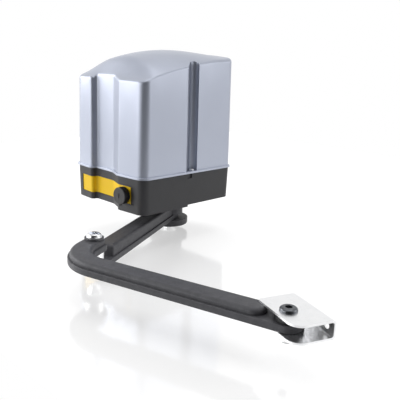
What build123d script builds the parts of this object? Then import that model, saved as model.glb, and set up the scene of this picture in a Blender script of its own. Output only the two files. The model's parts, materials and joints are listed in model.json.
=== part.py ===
from build123d import *
import math
import os

os.makedirs("parts", exist_ok=True)

# Swing-gate opener with an articulated arm. Millimetres, +Z up.
# The origin is on the rear face of the wall plate, in the middle of its bolt pattern.
# -Y is the front, which carries the yellow strip and the release knob.

# Housing outline
BASE_WIDTH = 194.0
BASE_DEPTH = 221.0
BASE_HEIGHT = 57.5
BASE_TOP_Z = 30.0
BASE_DRAFT = 1.2
BASE_WALL = 4.0
BASE_FLOOR = 5.5
FRONT_CORNER_R = 16.0
BACK_CORNER_R = 14.0
NOSE_ANGLE = 4.1
CHANNEL_LEFT = -43.5
CHANNEL_FLOOR_LEFT = -41.0
CHANNEL_FLOOR_RIGHT = 7.0
CHANNEL_RIGHT = 35.5
CHANNEL_DEPTH = 7.0
CHANNEL_EDGE_R = 6.0
CHANNEL_ROOT_R = 5.0
CHANNEL_SWEEP_R = 26.0
LEAST_CORNER_R = 0.5
FOOT_PAD_DROP = 3.5
FOOT_PAD_LENGTH = 108.0
FOOT_PAD_LEFT = 30.0

# Cover
GASKET_T = 1.2
GASKET_WIDTH = 3.2
LIP_PROUD = 3.0
LIP_T = 3.6
LIP_EDGE_R = 1.2
COVER_DRAFT = 0.6
COVER_WALL = 2.8
COVER_EDGE_R = 5.0
ROOF_CUT_Z = 262.0
# Roof sections from front to back: share of the depth, height at the sides, rise of the arch
ROOF_SECTIONS = (
    (-0.09, 189.5, 1.0),
    (0.0, 195.0, 2.5),
    (0.21, 206.0, 19.5),
    (0.52, 220.5, 24.0),
    (1.09, 239.0, 1.5),
)
SKIRT_DEPTH = 4.0
SKIRT_T = 2.0
SKIRT_GAP = 0.4
GROOVE_SHIFT = 9.5
GROOVE_R = 8.0
GROOVE_DEPTH = 12.0
GROOVE_LEAD = 12.0
NOTCH_WIDTH = 10.0
NOTCH_HEIGHT = 8.0
NOTCH_DEPTH = 2.5

# Wall plate and its fixings
PLATE_T = 5.0
PLATE_WIDTH = BASE_WIDTH - 26.0
PLATE_HEIGHT = 53.0
WALL_HOLE_R = 4.5
WALL_HOLE_PITCH_X = 124.0
WALL_HOLE_PITCH_Z = 30.0
WALL_PAD_R = 10.0
WALL_PAD_T = 5.0
PLATE_SCREW_R = 4.0
PLATE_SCREW_PITCH = 64.0
PLATE_SCREW_LENGTH = 13.0
SCREW_FIT = 0.05

# Front strip and release knob
STRIP_LEFT = 21.0 - BASE_WIDTH / 2
STRIP_RIGHT = BASE_WIDTH / 2 - 23.0
FILM_RIGHT = BASE_WIDTH / 2 - 32.0
STRIP_HEIGHT = 31.0
STRIP_RECESS = 2.2
STRIP_T = 1.2
STRIP_GAP = 0.3
KNOB_X = BASE_WIDTH / 2 - 46.0
KNOB_Z = -1.0
KNOB_R = 15.0
KNOB_LENGTH = 11.0
KNOB_EDGE_R = 1.2
KNOB_TAB_WIDTH = 4.0
KNOB_TAB_REACH = 1.8
KEY_SLOT_WIDTH = 1.6
KEY_SLOT_LENGTH = 9.0
KEY_SLOT_DEPTH = 3.0
BEZEL_R = 12.5
BEZEL_T = 3.0
SPINDLE_R = 5.0
RELEASE_BOSS_R = 11.0
RELEASE_BOSS_LENGTH = 12.0
RUNNING_FIT = 0.05

# Release rack and fork
RACK_MODULE = 1.0
RACK_PINION_TEETH = 10
RACK_PINION_T = 9.0
RACK_SETBACK = 23.0
RACK_BAR_WIDTH = 6.0
RACK_BAR_DEPTH = 8.0
RACK_TOOTH_COUNT = 7
FORK_T = 3.4
FORK_RING_WIDTH = 7.0
GUIDE_WALL = 3.0
GUIDE_GAP = 0.3
GUIDE_HEIGHT = 5.0

# Gear train
OUTPUT_Y = -77.0
GEAR_MODULE = 2.0
OUTPUT_TEETH = 48
PINION_TEETH = 12
IDLER_DIR = -53.13
OUTPUT_GEAR_Z = -12.0
OUTPUT_GEAR_T = 12.0
PINION_OVERHANG = 1.0
GEAR_BACKLASH = 0.35
GEAR_TIP_GAP = 0.5
OUTPUT_SHAFT_R = 14.0
OUTPUT_JOURNAL_R = 10.0
GEAR_KEY = 8.0
BEARING_GAP = 0.2

# Bearings, each as bore radius, outer radius and width
LOWER_BEARING = (14.0, 23.5, 12.0)
UPPER_BEARING = (10.0, 16.0, 8.0)
IDLER_FOOT_BEARING = (6.0, 10.5, 7.0)
IDLER_MID_BEARING = (9.0, 14.0, 7.0)
IDLER_TOP_BEARING = (6.0, 11.0, 7.0)
WORM_BEARING = (5.0, 9.5, 7.0)
BEARING_SHIELD_RECESS = 0.6

# Gearbox lid
LID_Z = 16.0
LID_T = 6.0
LID_GAP = 1.2
LID_POST_R = 6.0
LID_SCREW_R = 2.5
LID_POST_X = BASE_WIDTH / 2 - 13.0
LID_POST_BACK_Y = -20.0
LID_POST_MID_Y = -66.0
LID_POST_FRONT_INSET = 19.0
LID_BOSS_WALL = 4.0

# Clutch and worm wheel
CLUTCH_HEX = 15.0
CLUTCH_FIT = 0.12
CLUTCH_R = 15.0
CLUTCH_GROOVE_R = 12.0
CLUTCH_GROOVE_T = 4.2
CLUTCH_Z = 32.0
CLUTCH_T = 12.0
DOG_COUNT = 3
DOG_HEIGHT = 3.5
DOG_WIDTH = 6.0
DOG_GAP = 0.5
WHEEL_Z = 50.0
WHEEL_T = 14.0
WHEEL_TEETH = 24
WHEEL_HUB_DROP = 5.0
WORM_MODULE = 2.5
WORM_PITCH_R = 9.0
WORM_LENGTH = 34.0
WORM_TOOTH_SHARE = 0.40
WHEEL_TOOTH_SHARE = 0.40
WHEEL_CLEARANCE = 2.0

# Gear bridge and motor
BRIDGE_TOP_Z = 72.0
BRIDGE_TOP_T = 8.0
BRIDGE_WALL = 7.0
BRIDGE_FOOT = 14.0
BRIDGE_FOOT_T = 5.0
BRIDGE_SCREW_R = 2.5
MOTOR_FACE_X = 2.0
MOTOR_LENGTH = BASE_WIDTH / 2 - 25.0
MOTOR_R = 27.0
MOTOR_WALL = 2.5
MAGNET_T = 4.0
MAGNET_ARC = 130.0
ROTOR_R = 19.5
ROTOR_LENGTH = 48.0
ROTOR_SLOTS = 8
ROTOR_SLOT_WIDTH = 2.2
ROTOR_SLOT_DEPTH = 7.0
MOTOR_SHAFT_R = 5.0
END_CAP_T = 5.0
ENCODER_R = 13.0
ENCODER_T = 1.2
ENCODER_SLOTS = 12

# Control board and supply
TRAY_Z = 100.0
TRAY_T = 2.0
TRAY_WIDTH = BASE_WIDTH - 42.0
TRAY_BACK_Y = -28.0
TRAY_FRONT_INSET = 41.0
TRAY_POST_R = 4.0
TRAY_POST_INSET = 7.0
BOARD_SIDE_INSET = 10.0
BOARD_END_INSET = 22.0
BOARD_T = 1.6
BOARD_LIFT = 8.0
STANDOFF_R = 3.5
BOARD_SCREW_R = 1.5
TERMINAL_PITCH = 24.0
TERMINAL_SIZE = (21.0, 10.0, 12.0)
RELAY_SIZE = (15.0, 19.0, 16.0)
TRANSFORMER_R = 33.0
TRANSFORMER_HOLE_R = 11.0
TRANSFORMER_H = 38.0
TRANSFORMER_X = 67.0 - BASE_WIDTH / 2
TRANSFORMER_FRONT_INSET = 56.0
TRANSFORMER_ROUND = 9.0
CAPACITOR_R = 17.5
CAPACITOR_H = 52.0
CAPACITOR_X = BASE_WIDTH / 2 - 51.0
CAPACITOR_Y = -44.0
CLIP_T = 2.0

# Arms
ARM_CLEARANCE = 1.3
ARM_WIDTH = 38.0
SLAB_T = 9.0
ARM_EDGE_R = 1.0
LEDGE = 3.0
CURVED_HAT_T = 8.0
STRAIGHT_HAT_T = 17.8
HAT_SHOULDER_R = 5.0
CURVED_LEG = 21.4
CURVED_BEND_R = 60.0
CURVED_BEND = 78.7
CURVED_LONG = 276.4
CURVED_HAT_END = 42.0
ELBOW_PAD_R = 17.0
ELBOW_PAD_T = 3.0
STRAIGHT_LENGTH = 309.6
STRAIGHT_HAT_END = 31.0
STRAIGHT_REST = -63.5
CURVED_REST = 13.8
HUB_BOSS_R = 38.0
HUB_BOSS_DROP = 12.2
HUB_BOSS_LAP = 1.0
COLLAR_R = 28.0
OUTPUT_BOSS_R = 40.0
OUTPUT_BOSS_DROP = 13.0
OUTPUT_BOSS_EDGE_R = 3.0
SHAFT_SQUARE = 19.0
SHAFT_BOLT_R = 5.0
SHAFT_WASHER_R = 16.0
SHAFT_WASHER_T = 3.0
ELBOW_SPACER_R = 14.5
ELBOW_SPACER_LENGTH = 19.0
JOINT_GAP = 0.25

# M12 joint bolts
BOLT_R = 6.0
BOLT_HEAD_R = 10.5
BOLT_HEAD_H = 4.3
BOLT_SOCKET = 8.0
BOLT_SOCKET_DEPTH = 2.8
WASHER_R = 12.0
WASHER_T = 2.0
NUT_ACROSS = 19.0
NUT_H = 10.8
NUT_COLLAR_H = 3.0
BOLT_TAIL = 2.0
BUSH_WALL = 2.0

# Gate bracket
BRACKET_LENGTH = 78.0
BRACKET_T = 2.5
BRACKET_WEB_Y = 36.0
BRACKET_NEAR_Y = -17.0
BRACKET_INNER_CORNER_R = 4.0
BRACKET_OUTER_CORNER_R = 16.0
BRACKET_BEND_R = 4.0
BRACKET_GAP = 0.3
BRACKET_REST = -21.0
GATE_HOLE_R = 4.25
GATE_HOLE_PITCH = 52.0

# Cover and lid screws
COVER_SCREW_X = BASE_WIDTH / 2 - 6.5
COVER_SCREW_R = 2.5
COVER_SCREW_HEAD_R = 4.2
COVER_SCREW_LENGTH = 18.0
COVER_POST_R = 5.5
PAN_HEAD_H = 2.6
CABLE_X = -45.0
CABLE_Y = -30.0
CABLE_HOLE_R = 10.0
GROMMET_WALL = 2.0
GROMMET_FLANGE_R = 14.0
GROMMET_FLANGE_T = 2.5

LOW = (Align.CENTER, Align.CENTER, Align.MIN)
BASE_BACK_Y = -PLATE_T
BASE_FRONT_Y = BASE_BACK_Y - BASE_DEPTH
BASE_BOTTOM_Z = BASE_TOP_Z - BASE_HEIGHT
FLOOR_Z = BASE_BOTTOM_Z + BASE_FLOOR
LID_TOP_Z = LID_Z + LID_T
COVER_Z = BASE_TOP_Z + GASKET_T
LIP_TOP_Z = COVER_Z + LIP_T
NOSE_SLOPE = math.tan(math.radians(NOSE_ANGLE))
CURVED_TOP_Z = BASE_BOTTOM_Z - FOOT_PAD_DROP - ARM_CLEARANCE
CURVED_BOTTOM_Z = CURVED_TOP_Z - CURVED_HAT_T - SLAB_T
SLAB_TOP_Z = CURVED_BOTTOM_Z - ELBOW_SPACER_LENGTH
SLAB_BOTTOM_Z = SLAB_TOP_Z - SLAB_T
STRAIGHT_TOP_Z = SLAB_TOP_Z + STRAIGHT_HAT_T
BOSS_BOTTOM_Z = BASE_BOTTOM_Z - OUTPUT_BOSS_DROP
HUB_BOTTOM_Z = SLAB_BOTTOM_Z - HUB_BOSS_DROP
GROOVE_Y = (BASE_FRONT_Y + BASE_BACK_Y) / 2 + GROOVE_SHIFT
LID_POST_FRONT_Y = BASE_FRONT_Y + LID_POST_FRONT_INSET
TRAY_FRONT_Y = BASE_FRONT_Y + TRAY_FRONT_INSET
TRANSFORMER_Y = BASE_FRONT_Y + TRANSFORMER_FRONT_INSET
BOARD_WIDTH = TRAY_WIDTH - BOARD_SIDE_INSET * 2
BOARD_DEPTH = TRAY_BACK_Y - TRAY_FRONT_Y - BOARD_END_INSET * 2

IDLER_DISTANCE = GEAR_MODULE * (OUTPUT_TEETH + PINION_TEETH) / 2
IDLER_X = IDLER_DISTANCE * math.cos(math.radians(IDLER_DIR))
IDLER_Y = OUTPUT_Y + IDLER_DISTANCE * math.sin(math.radians(IDLER_DIR))
WHEEL_PITCH_R = WORM_MODULE * WHEEL_TEETH / 2
WORM_Y = IDLER_Y + WHEEL_PITCH_R + WORM_PITCH_R
WORM_Z = WHEEL_Z + WHEEL_T / 2
WORM_PITCH = math.pi * WORM_MODULE
WORM_LEAD = math.atan(WORM_MODULE / 2 / WORM_PITCH_R)
WORM_PHASE = 360 * (0.5 - WORM_LENGTH / 2 / WORM_PITCH)
POST_BACK_X = IDLER_X + WORM_LENGTH / 2 + BRIDGE_WALL / 2
POST_FRONT_X = POST_BACK_X + BRIDGE_WALL


def polar(angle, radius):
    """A point at this angle in degrees and distance from the Z axis."""
    turn = math.radians(angle)
    return Vector(radius * math.cos(turn), radius * math.sin(turn), 0)


ELBOW = Vector(0, OUTPUT_Y, 0) + polar(STRAIGHT_REST, STRAIGHT_LENGTH)
LEG_END = ELBOW + polar(CURVED_REST - CURVED_BEND, CURVED_LEG)
BEND_CENTRE = LEG_END + polar(CURVED_REST - CURVED_BEND + 90, CURVED_BEND_R)
BEND_END = BEND_CENTRE + polar(CURVED_REST - 90, CURVED_BEND_R)
PIVOT = BEND_END + polar(CURVED_REST, CURVED_LONG)


def save(name, shape):
    """Write one named piece, as one solid or a group of separate solids."""
    shapes = shape if isinstance(shape, list) else [shape]
    solids = [solid for item in shapes for solid in item.solids()]
    whole = solids[0] if len(solids) == 1 else Compound(children=solids)
    export_step(whole, f"parts/{name}.step")


def rod(x, y, z, radius, height):
    """An upright cylinder that stands on z."""
    return Pos(x, y, z) * Cylinder(radius, height, align=LOW)


def rod_x(x, y, z, radius, length):
    """A cylinder along +X that starts at x."""
    return Plane(origin=(x, y, z), x_dir=(0, 1, 0), z_dir=(1, 0, 0)) * Cylinder(radius, length, align=LOW)


def rod_y(x, y, z, radius, length):
    """A cylinder along -Y that starts at y."""
    return Plane(origin=(x, y, z), x_dir=(1, 0, 0), z_dir=(0, -1, 0)) * Cylinder(radius, length, align=LOW)


def block(x0, x1, y0, y1, z0, z1):
    """A box between two corners."""
    return Pos((x0 + x1) / 2, (y0 + y1) / 2, (z0 + z1) / 2) * Box(x1 - x0, y1 - y0, z1 - z0)


def hex_rod(x, y, z, across, height):
    """An upright hexagonal bar, measured across its flats."""
    face = RegularPolygon(across / 2, 6, major_radius=False)
    return Pos(x, y, z) * extrude(face, height)


def pan_screw(x, y, z, radius, length, head_r):
    """A pan-head screw whose head rests on z and whose shank goes down."""
    head = rod(x, y, z, head_r, PAN_HEAD_H)
    head = fillet(head.edges().sort_by(Axis.Z)[-1], PAN_HEAD_H / 2)
    socket = hex_rod(x, y, z + PAN_HEAD_H / 2, radius * 1.2, PAN_HEAD_H)
    return head + rod(x, y, z - length, radius - SCREW_FIT, length) - socket


def wing_y(x):
    """Front wall of the base at this x, swept back from the middle."""
    return BASE_FRONT_Y - NOSE_SLOPE * (BASE_WIDTH / 2 - abs(x))


def moved_in(points, distance):
    """Corners of a counter-clockwise polygon after every side has moved inwards."""
    moved = []
    for index, point in enumerate(points):
        here = Vector(*point)
        arriving = (here - Vector(*points[index - 1])).normalized()
        leaving = (Vector(*points[(index + 1) % len(points)]) - here).normalized()
        across = Vector(-arriving.Y, arriving.X), Vector(-leaving.Y, leaving.X)
        moved.append(here + (across[0] + across[1]) * (distance / (1 + across[0].dot(across[1]))))
    return moved


def plan(inset, lean=0.0):
    """Plan of the housing: two swept wings with a hollow channel between them.

    The inset is a wall or a gap, so it changes the corner radii; the lean is a draft, so it does not.
    """
    half = BASE_WIDTH / 2
    floor_y = BASE_FRONT_Y + CHANNEL_DEPTH
    outward, inward = 1, -1
    corners = [
        ((half, BASE_BACK_Y), BACK_CORNER_R, outward),
        ((-half, BASE_BACK_Y), BACK_CORNER_R, outward),
        ((-half, BASE_FRONT_Y), FRONT_CORNER_R, outward),
        ((CHANNEL_LEFT, wing_y(CHANNEL_LEFT)), CHANNEL_EDGE_R, outward),
        ((CHANNEL_FLOOR_LEFT, floor_y), CHANNEL_ROOT_R, inward),
        ((CHANNEL_FLOOR_RIGHT, floor_y), CHANNEL_SWEEP_R, inward),
        ((CHANNEL_RIGHT, wing_y(CHANNEL_RIGHT)), CHANNEL_EDGE_R, outward),
        ((half, BASE_FRONT_Y), FRONT_CORNER_R, outward),
    ]
    points = moved_in([point for point, _, _ in corners], inset + lean)
    radii = [max(radius - turn * inset, LEAST_CORNER_R) for _, radius, turn in corners]
    return make_face(FilletPolyline(*points, radius=radii, close=True))


def raised(inset, z0, z1, draft=0.0):
    """A solid on the housing plan that leans in by the draft on its way from z0 to z1."""
    if draft == 0:
        return extrude(Pos(0, 0, z0) * plan(inset), z1 - z0)
    lean = abs(z1 - z0) * math.tan(math.radians(draft))
    return loft([Pos(0, 0, z0) * plan(inset), Pos(0, 0, z1) * plan(inset, lean)], ruled=True)


def lowered(inset, z1, z0, draft=BASE_DRAFT):
    """A solid on the housing plan that leans in by the draft as it goes down from z1."""
    return raised(inset, z1, z0, draft)


def roof_section(share, edge_z, rise):
    """An arched section of the roof at this share of the depth from the front."""
    half = BASE_WIDTH / 2
    reach = half + LIP_PROUD * 2
    arch_r = (half ** 2 + rise ** 2) / (2 * rise)
    side_z = edge_z + rise - arch_r + math.sqrt(arch_r ** 2 - reach ** 2)
    y = BASE_FRONT_Y + share * BASE_DEPTH
    arch = ThreePointArc((-reach, y, side_z), (0, y, edge_z + rise), (reach, y, side_z))
    sides = Polyline((reach, y, side_z), (reach, y, 0), (-reach, y, 0), (-reach, y, side_z))
    return make_face([arch, sides])


def roof_form(drop):
    """A domed form whose top is the roof, lowered by the wall for the inside."""
    return loft([roof_section(share, edge_z - drop, rise) for share, edge_z, rise in ROOF_SECTIONS])


def groove_slot(side, radius, depth):
    """A leaning slot down the side of the cover, open at the top."""
    lean = math.radians(COVER_DRAFT)
    axis = Vector(-side * math.sin(lean), 0, math.cos(lean))
    floor_x = side * (BASE_WIDTH / 2 - depth + radius)
    return extrude(Pos(floor_x, GROOVE_Y, LIP_TOP_Z) * Circle(radius), ROOF_CUT_Z, dir=axis)


def groove_lead(side, wall):
    """The flared front edge of the slot, moved outwards by a wall for its backing."""
    half = BASE_WIDTH / 2
    floor_x = half - GROOVE_DEPTH - wall
    back_y = GROOVE_Y - GROOVE_R / 2
    slope = math.hypot(GROOVE_LEAD + GROOVE_R / 2, GROOVE_DEPTH) / GROOVE_DEPTH
    front_y = GROOVE_Y - GROOVE_R - GROOVE_LEAD - wall * slope
    face = make_face(Polyline(
        (side * floor_x, back_y),
        (side * (half + LIP_PROUD), back_y),
        (side * (half + LIP_PROUD), front_y),
        (side * half, front_y),
        close=True,
    ))
    lean = math.radians(COVER_DRAFT)
    axis = Vector(-side * math.sin(lean), 0, math.cos(lean))
    return extrude(Pos(0, 0, LIP_TOP_Z) * face, ROOF_CUT_Z, dir=axis)


def cover():
    outer = raised(0, COVER_Z, ROOF_CUT_Z, COVER_DRAFT) & roof_form(0)
    roof_edges = outer.faces().sort_by(Axis.Z)[-1].edges()
    outer = fillet(roof_edges, COVER_EDGE_R)
    inner = raised(COVER_WALL, COVER_Z, ROOF_CUT_Z, COVER_DRAFT) & roof_form(COVER_WALL)
    shell = outer - inner
    lip = raised(-LIP_PROUD, COVER_Z, LIP_TOP_Z)
    lip = fillet(lip.edges().group_by(Axis.Z)[-1], LIP_EDGE_R)
    shell += lip - raised(COVER_WALL, COVER_Z, LIP_TOP_Z)
    skirt_inset = BASE_WALL + SKIRT_GAP
    skirt = raised(skirt_inset, COVER_Z - SKIRT_DEPTH, COVER_Z)
    skirt -= raised(skirt_inset + SKIRT_T, COVER_Z - SKIRT_DEPTH, COVER_Z)
    rail = raised(COVER_WALL, COVER_Z, LIP_TOP_Z) - raised(skirt_inset + SKIRT_T, COVER_Z, LIP_TOP_Z)
    shell += skirt + rail
    for side in (-1, 1):
        shell += groove_slot(side, GROOVE_R + COVER_WALL, GROOVE_DEPTH + COVER_WALL) & outer
        shell += groove_lead(side, COVER_WALL) & outer
        shell -= groove_slot(side, GROOVE_R, GROOVE_DEPTH)
        shell -= groove_lead(side, 0)
        post = rod(side * COVER_SCREW_X, GROOVE_Y, COVER_Z - SKIRT_DEPTH, COVER_POST_R + 1, SKIRT_DEPTH)
        shell -= post
        shell += rod(side * COVER_SCREW_X, GROOVE_Y, COVER_Z, COVER_POST_R, LIP_T) & lip
        shell -= rod(side * COVER_SCREW_X, GROOVE_Y, 0, COVER_SCREW_R, LIP_TOP_Z)
    return shell


def cover_gasket():
    ring = raised(SKIRT_GAP, BASE_TOP_Z, COVER_Z) - raised(GASKET_WIDTH + SKIRT_GAP, BASE_TOP_Z, COVER_Z)
    for side in (-1, 1):
        ring += rod(side * COVER_SCREW_X, GROOVE_Y, BASE_TOP_Z, COVER_POST_R, GASKET_T)
        ring &= raised(SKIRT_GAP, BASE_TOP_Z, COVER_Z)
        ring -= rod(side * COVER_SCREW_X, GROOVE_Y, BASE_TOP_Z, COVER_SCREW_R, GASKET_T)
    return ring


def cover_screws():
    return [
        pan_screw(side * COVER_SCREW_X, GROOVE_Y, LIP_TOP_Z, COVER_SCREW_R,
                  COVER_SCREW_LENGTH, COVER_SCREW_HEAD_R)
        for side in (-1, 1)
    ]


LID_POSTS = [
    (side * LID_POST_X, y)
    for side in (-1, 1)
    for y in (LID_POST_BACK_Y, LID_POST_MID_Y, LID_POST_FRONT_Y)
]
WALL_HOLES = [
    (sx * WALL_HOLE_PITCH_X / 2, sz * WALL_HOLE_PITCH_Z / 2)
    for sx in (-1, 1)
    for sz in (-1, 1)
]
PLATE_SCREWS = [(-PLATE_SCREW_PITCH / 2, 0), (PLATE_SCREW_PITCH / 2, 0)]

# Local plane on the right wing: x along the wing, y up, z outwards.
WING_OUT = Vector(NOSE_SLOPE, -1, 0).normalized()
WING_ALONG = Vector(1, NOSE_SLOPE, 0).normalized()
WING = Plane(origin=(KNOB_X, wing_y(KNOB_X), KNOB_Z), x_dir=WING_ALONG, z_dir=WING_OUT)


def wing_rod(radius, start, length):
    """A cylinder along the release axis; start counts inwards from the wing."""
    return WING * Pos(0, 0, -start) * Cylinder(radius, length, align=(Align.CENTER, Align.CENTER, Align.MAX))


def ring_bearing(sizes):
    """A shielded ball bearing as one closed ring with sunken shields."""
    bore, outer, width = sizes
    race = (outer - bore) / 4
    body = Cylinder(outer, width, align=LOW) - Cylinder(bore + RUNNING_FIT, width, align=LOW)
    sunk = Cylinder(outer - race, BEARING_SHIELD_RECESS, align=LOW)
    sunk -= Cylinder(bore + race, BEARING_SHIELD_RECESS, align=LOW)
    return body - sunk - Pos(0, 0, width - BEARING_SHIELD_RECESS) * sunk


def base_housing():
    outer = lowered(0, BASE_TOP_Z, BASE_BOTTOM_Z)
    deep = lowered(0, BASE_TOP_Z, BASE_BOTTOM_Z - FOOT_PAD_DROP)
    pad = block(FOOT_PAD_LEFT, BASE_WIDTH, BASE_FRONT_Y - BASE_WALL * 3, BASE_FRONT_Y + FOOT_PAD_LENGTH,
                BASE_BOTTOM_Z - FOOT_PAD_DROP, BASE_BOTTOM_Z)
    body = outer + (deep & pad)
    body -= lowered(BASE_WALL, BASE_TOP_Z, FLOOR_Z)
    boss = rod(0, OUTPUT_Y, BOSS_BOTTOM_Z, OUTPUT_BOSS_R, OUTPUT_BOSS_DROP)
    body += fillet(boss.edges().sort_by(Axis.Z)[0], OUTPUT_BOSS_EDGE_R)
    inside = lowered(BASE_WALL / 2, BASE_TOP_Z, FLOOR_Z)
    for x, y in LID_POSTS:
        body += rod(x, y, FLOOR_Z, LID_POST_R, LID_Z - FLOOR_Z) & inside
        body -= rod(x, y, FLOOR_Z + LID_POST_R, LID_SCREW_R, LID_Z - FLOOR_Z)
    for side in (-1, 1):
        body += rod(side * COVER_SCREW_X, GROOVE_Y, FLOOR_Z, COVER_POST_R, BASE_TOP_Z - FLOOR_Z) & inside
        body -= rod(side * COVER_SCREW_X, GROOVE_Y, BASE_TOP_Z - COVER_SCREW_LENGTH,
                    COVER_SCREW_R, COVER_SCREW_LENGTH)
        notch = Pos(side * BASE_WIDTH / 2, GROOVE_Y - NOTCH_WIDTH, BASE_TOP_Z - NOTCH_HEIGHT / 2)
        body -= notch * Box(NOTCH_DEPTH * 2, NOTCH_WIDTH, NOTCH_HEIGHT)
    for x, z in WALL_HOLES:
        body += rod_y(x, BASE_BACK_Y, z, WALL_PAD_R, BASE_WALL + WALL_PAD_T) & inside
        body -= rod_y(x, BASE_BACK_Y, z, WALL_HOLE_R, BASE_WALL + WALL_PAD_T)
    for x, z in PLATE_SCREWS:
        body += rod_y(x, BASE_BACK_Y, z, WALL_PAD_R, BASE_WALL + WALL_PAD_T) & inside
        body -= rod_y(x, BASE_BACK_Y, z, PLATE_SCREW_R, BASE_WALL + WALL_PAD_T)
    bore, race, width = LOWER_BEARING
    body -= rod(0, OUTPUT_Y, BOSS_BOTTOM_Z, race - BUSH_WALL, OUTPUT_BOSS_DROP + BASE_FLOOR)
    body -= rod(0, OUTPUT_Y, FLOOR_Z - width, race, width)
    foot_bore, foot_race, foot_width = IDLER_FOOT_BEARING
    body += rod(IDLER_X, IDLER_Y, FLOOR_Z, foot_race + LID_BOSS_WALL, foot_width)
    body -= rod(IDLER_X, IDLER_Y, FLOOR_Z, foot_race, foot_width)
    body += wing_rod(RELEASE_BOSS_R, BASE_WALL, RELEASE_BOSS_LENGTH)
    recess = block(STRIP_LEFT, STRIP_RIGHT, BASE_FRONT_Y * 1.5, BASE_FRONT_Y / 2,
                   -STRIP_HEIGHT / 2, STRIP_HEIGHT / 2)
    body -= recess & (lowered(-BASE_WALL, BASE_TOP_Z, BASE_BOTTOM_Z)
                      - lowered(STRIP_RECESS, BASE_TOP_Z, BASE_BOTTOM_Z))
    body -= wing_rod(SPINDLE_R + RUNNING_FIT, -BASE_WALL, BASE_WALL * 2 + RELEASE_BOSS_LENGTH)
    body -= rod(CABLE_X, CABLE_Y, BASE_BOTTOM_Z, CABLE_HOLE_R, BASE_FLOOR)
    return body


def label_strip():
    band = block(STRIP_LEFT + STRIP_GAP, FILM_RIGHT, BASE_FRONT_Y * 1.5, BASE_FRONT_Y / 2,
                 -STRIP_HEIGHT / 2 + STRIP_GAP, STRIP_HEIGHT / 2 - STRIP_GAP)
    front = lowered(STRIP_RECESS - STRIP_T, BASE_TOP_Z, BASE_BOTTOM_Z)
    behind = lowered(STRIP_RECESS, BASE_TOP_Z, BASE_BOTTOM_Z)
    return band & (front - behind) - wing_rod(BEZEL_R + STRIP_GAP, -BASE_WALL, BASE_WALL * 2)


def release_bezel():
    ring = wing_rod(BEZEL_R, -BASE_WALL, BASE_WALL * 2)
    ring &= lowered(STRIP_RECESS - BEZEL_T, BASE_TOP_Z, BASE_BOTTOM_Z)
    ring -= lowered(STRIP_RECESS, BASE_TOP_Z, BASE_BOTTOM_Z)
    return ring - wing_rod(SPINDLE_R + RUNNING_FIT, -BASE_WALL, BASE_WALL * 2)


KNOB_SEAT = BEZEL_T - STRIP_RECESS + JOINT_GAP


def release_knob():
    body = WING * Pos(0, 0, KNOB_SEAT) * Cylinder(KNOB_R, KNOB_LENGTH, align=LOW)
    tab = WING * Pos(0, -KNOB_R, KNOB_SEAT + KNOB_LENGTH * 3 / 4)
    body += tab * Box(KNOB_TAB_WIDTH, KNOB_TAB_REACH * 2, KNOB_LENGTH / 2)
    face = body.faces().sort_by(Axis(WING.origin, WING.z_dir))[-1]
    body = fillet(face.edges(), KNOB_EDGE_R)
    slot = WING * Pos(0, 0, KNOB_SEAT + KNOB_LENGTH)
    body -= slot * Box(KEY_SLOT_WIDTH, KEY_SLOT_LENGTH, KEY_SLOT_DEPTH * 2)
    return body


def gear_face(module, teeth, share=0.5, turn=0.0):
    """A spur gear outline with straight-flanked teeth; share is the tooth's part of the pitch."""
    pitch_r = module * teeth / 2
    tip_r = pitch_r + module * (1 - GEAR_TIP_GAP / 2)
    root_r = pitch_r - module * 1.25
    pitch = 360 / teeth
    half = pitch * share / 2
    points = []
    for tooth in range(teeth):
        middle = turn + tooth * pitch
        points.append(polar(middle - half * 1.75, root_r))
        points.append(polar(middle - half, pitch_r))
        points.append(polar(middle - half * 0.45, tip_r))
        points.append(polar(middle + half * 0.45, tip_r))
        points.append(polar(middle + half, pitch_r))
        points.append(polar(middle + half * 1.75, root_r))
    return make_face(Polyline(*points, close=True))


def tooth_share(module, teeth):
    """Tooth share of the pitch once the backlash is taken off."""
    return 0.5 - GEAR_BACKLASH / 2 / (math.pi * module)


def output_gear():
    share = tooth_share(GEAR_MODULE, OUTPUT_TEETH)
    blank = extrude(gear_face(GEAR_MODULE, OUTPUT_TEETH, share, IDLER_DIR), OUTPUT_GEAR_T)
    web_r = GEAR_MODULE * OUTPUT_TEETH / 2 - GEAR_MODULE * 4
    hub_r = OUTPUT_SHAFT_R + GEAR_KEY
    groove = Cylinder(web_r, OUTPUT_GEAR_T / 4, align=LOW) - Cylinder(hub_r, OUTPUT_GEAR_T / 4, align=LOW)
    blank -= groove + Pos(0, 0, OUTPUT_GEAR_T * 3 / 4) * groove
    blank -= Cylinder(OUTPUT_SHAFT_R, OUTPUT_GEAR_T, align=LOW)
    blank -= gear_key_block()
    return Pos(0, OUTPUT_Y, OUTPUT_GEAR_Z) * blank


def gear_key_block():
    low = (Align.CENTER, Align.MIN, Align.MIN)
    return Pos(0, OUTPUT_SHAFT_R - GEAR_KEY / 2, 0) * Box(GEAR_KEY, GEAR_KEY * 0.9, OUTPUT_GEAR_T, align=low)


def gear_key():
    return Pos(0, OUTPUT_Y, OUTPUT_GEAR_Z) * gear_key_block()


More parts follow.
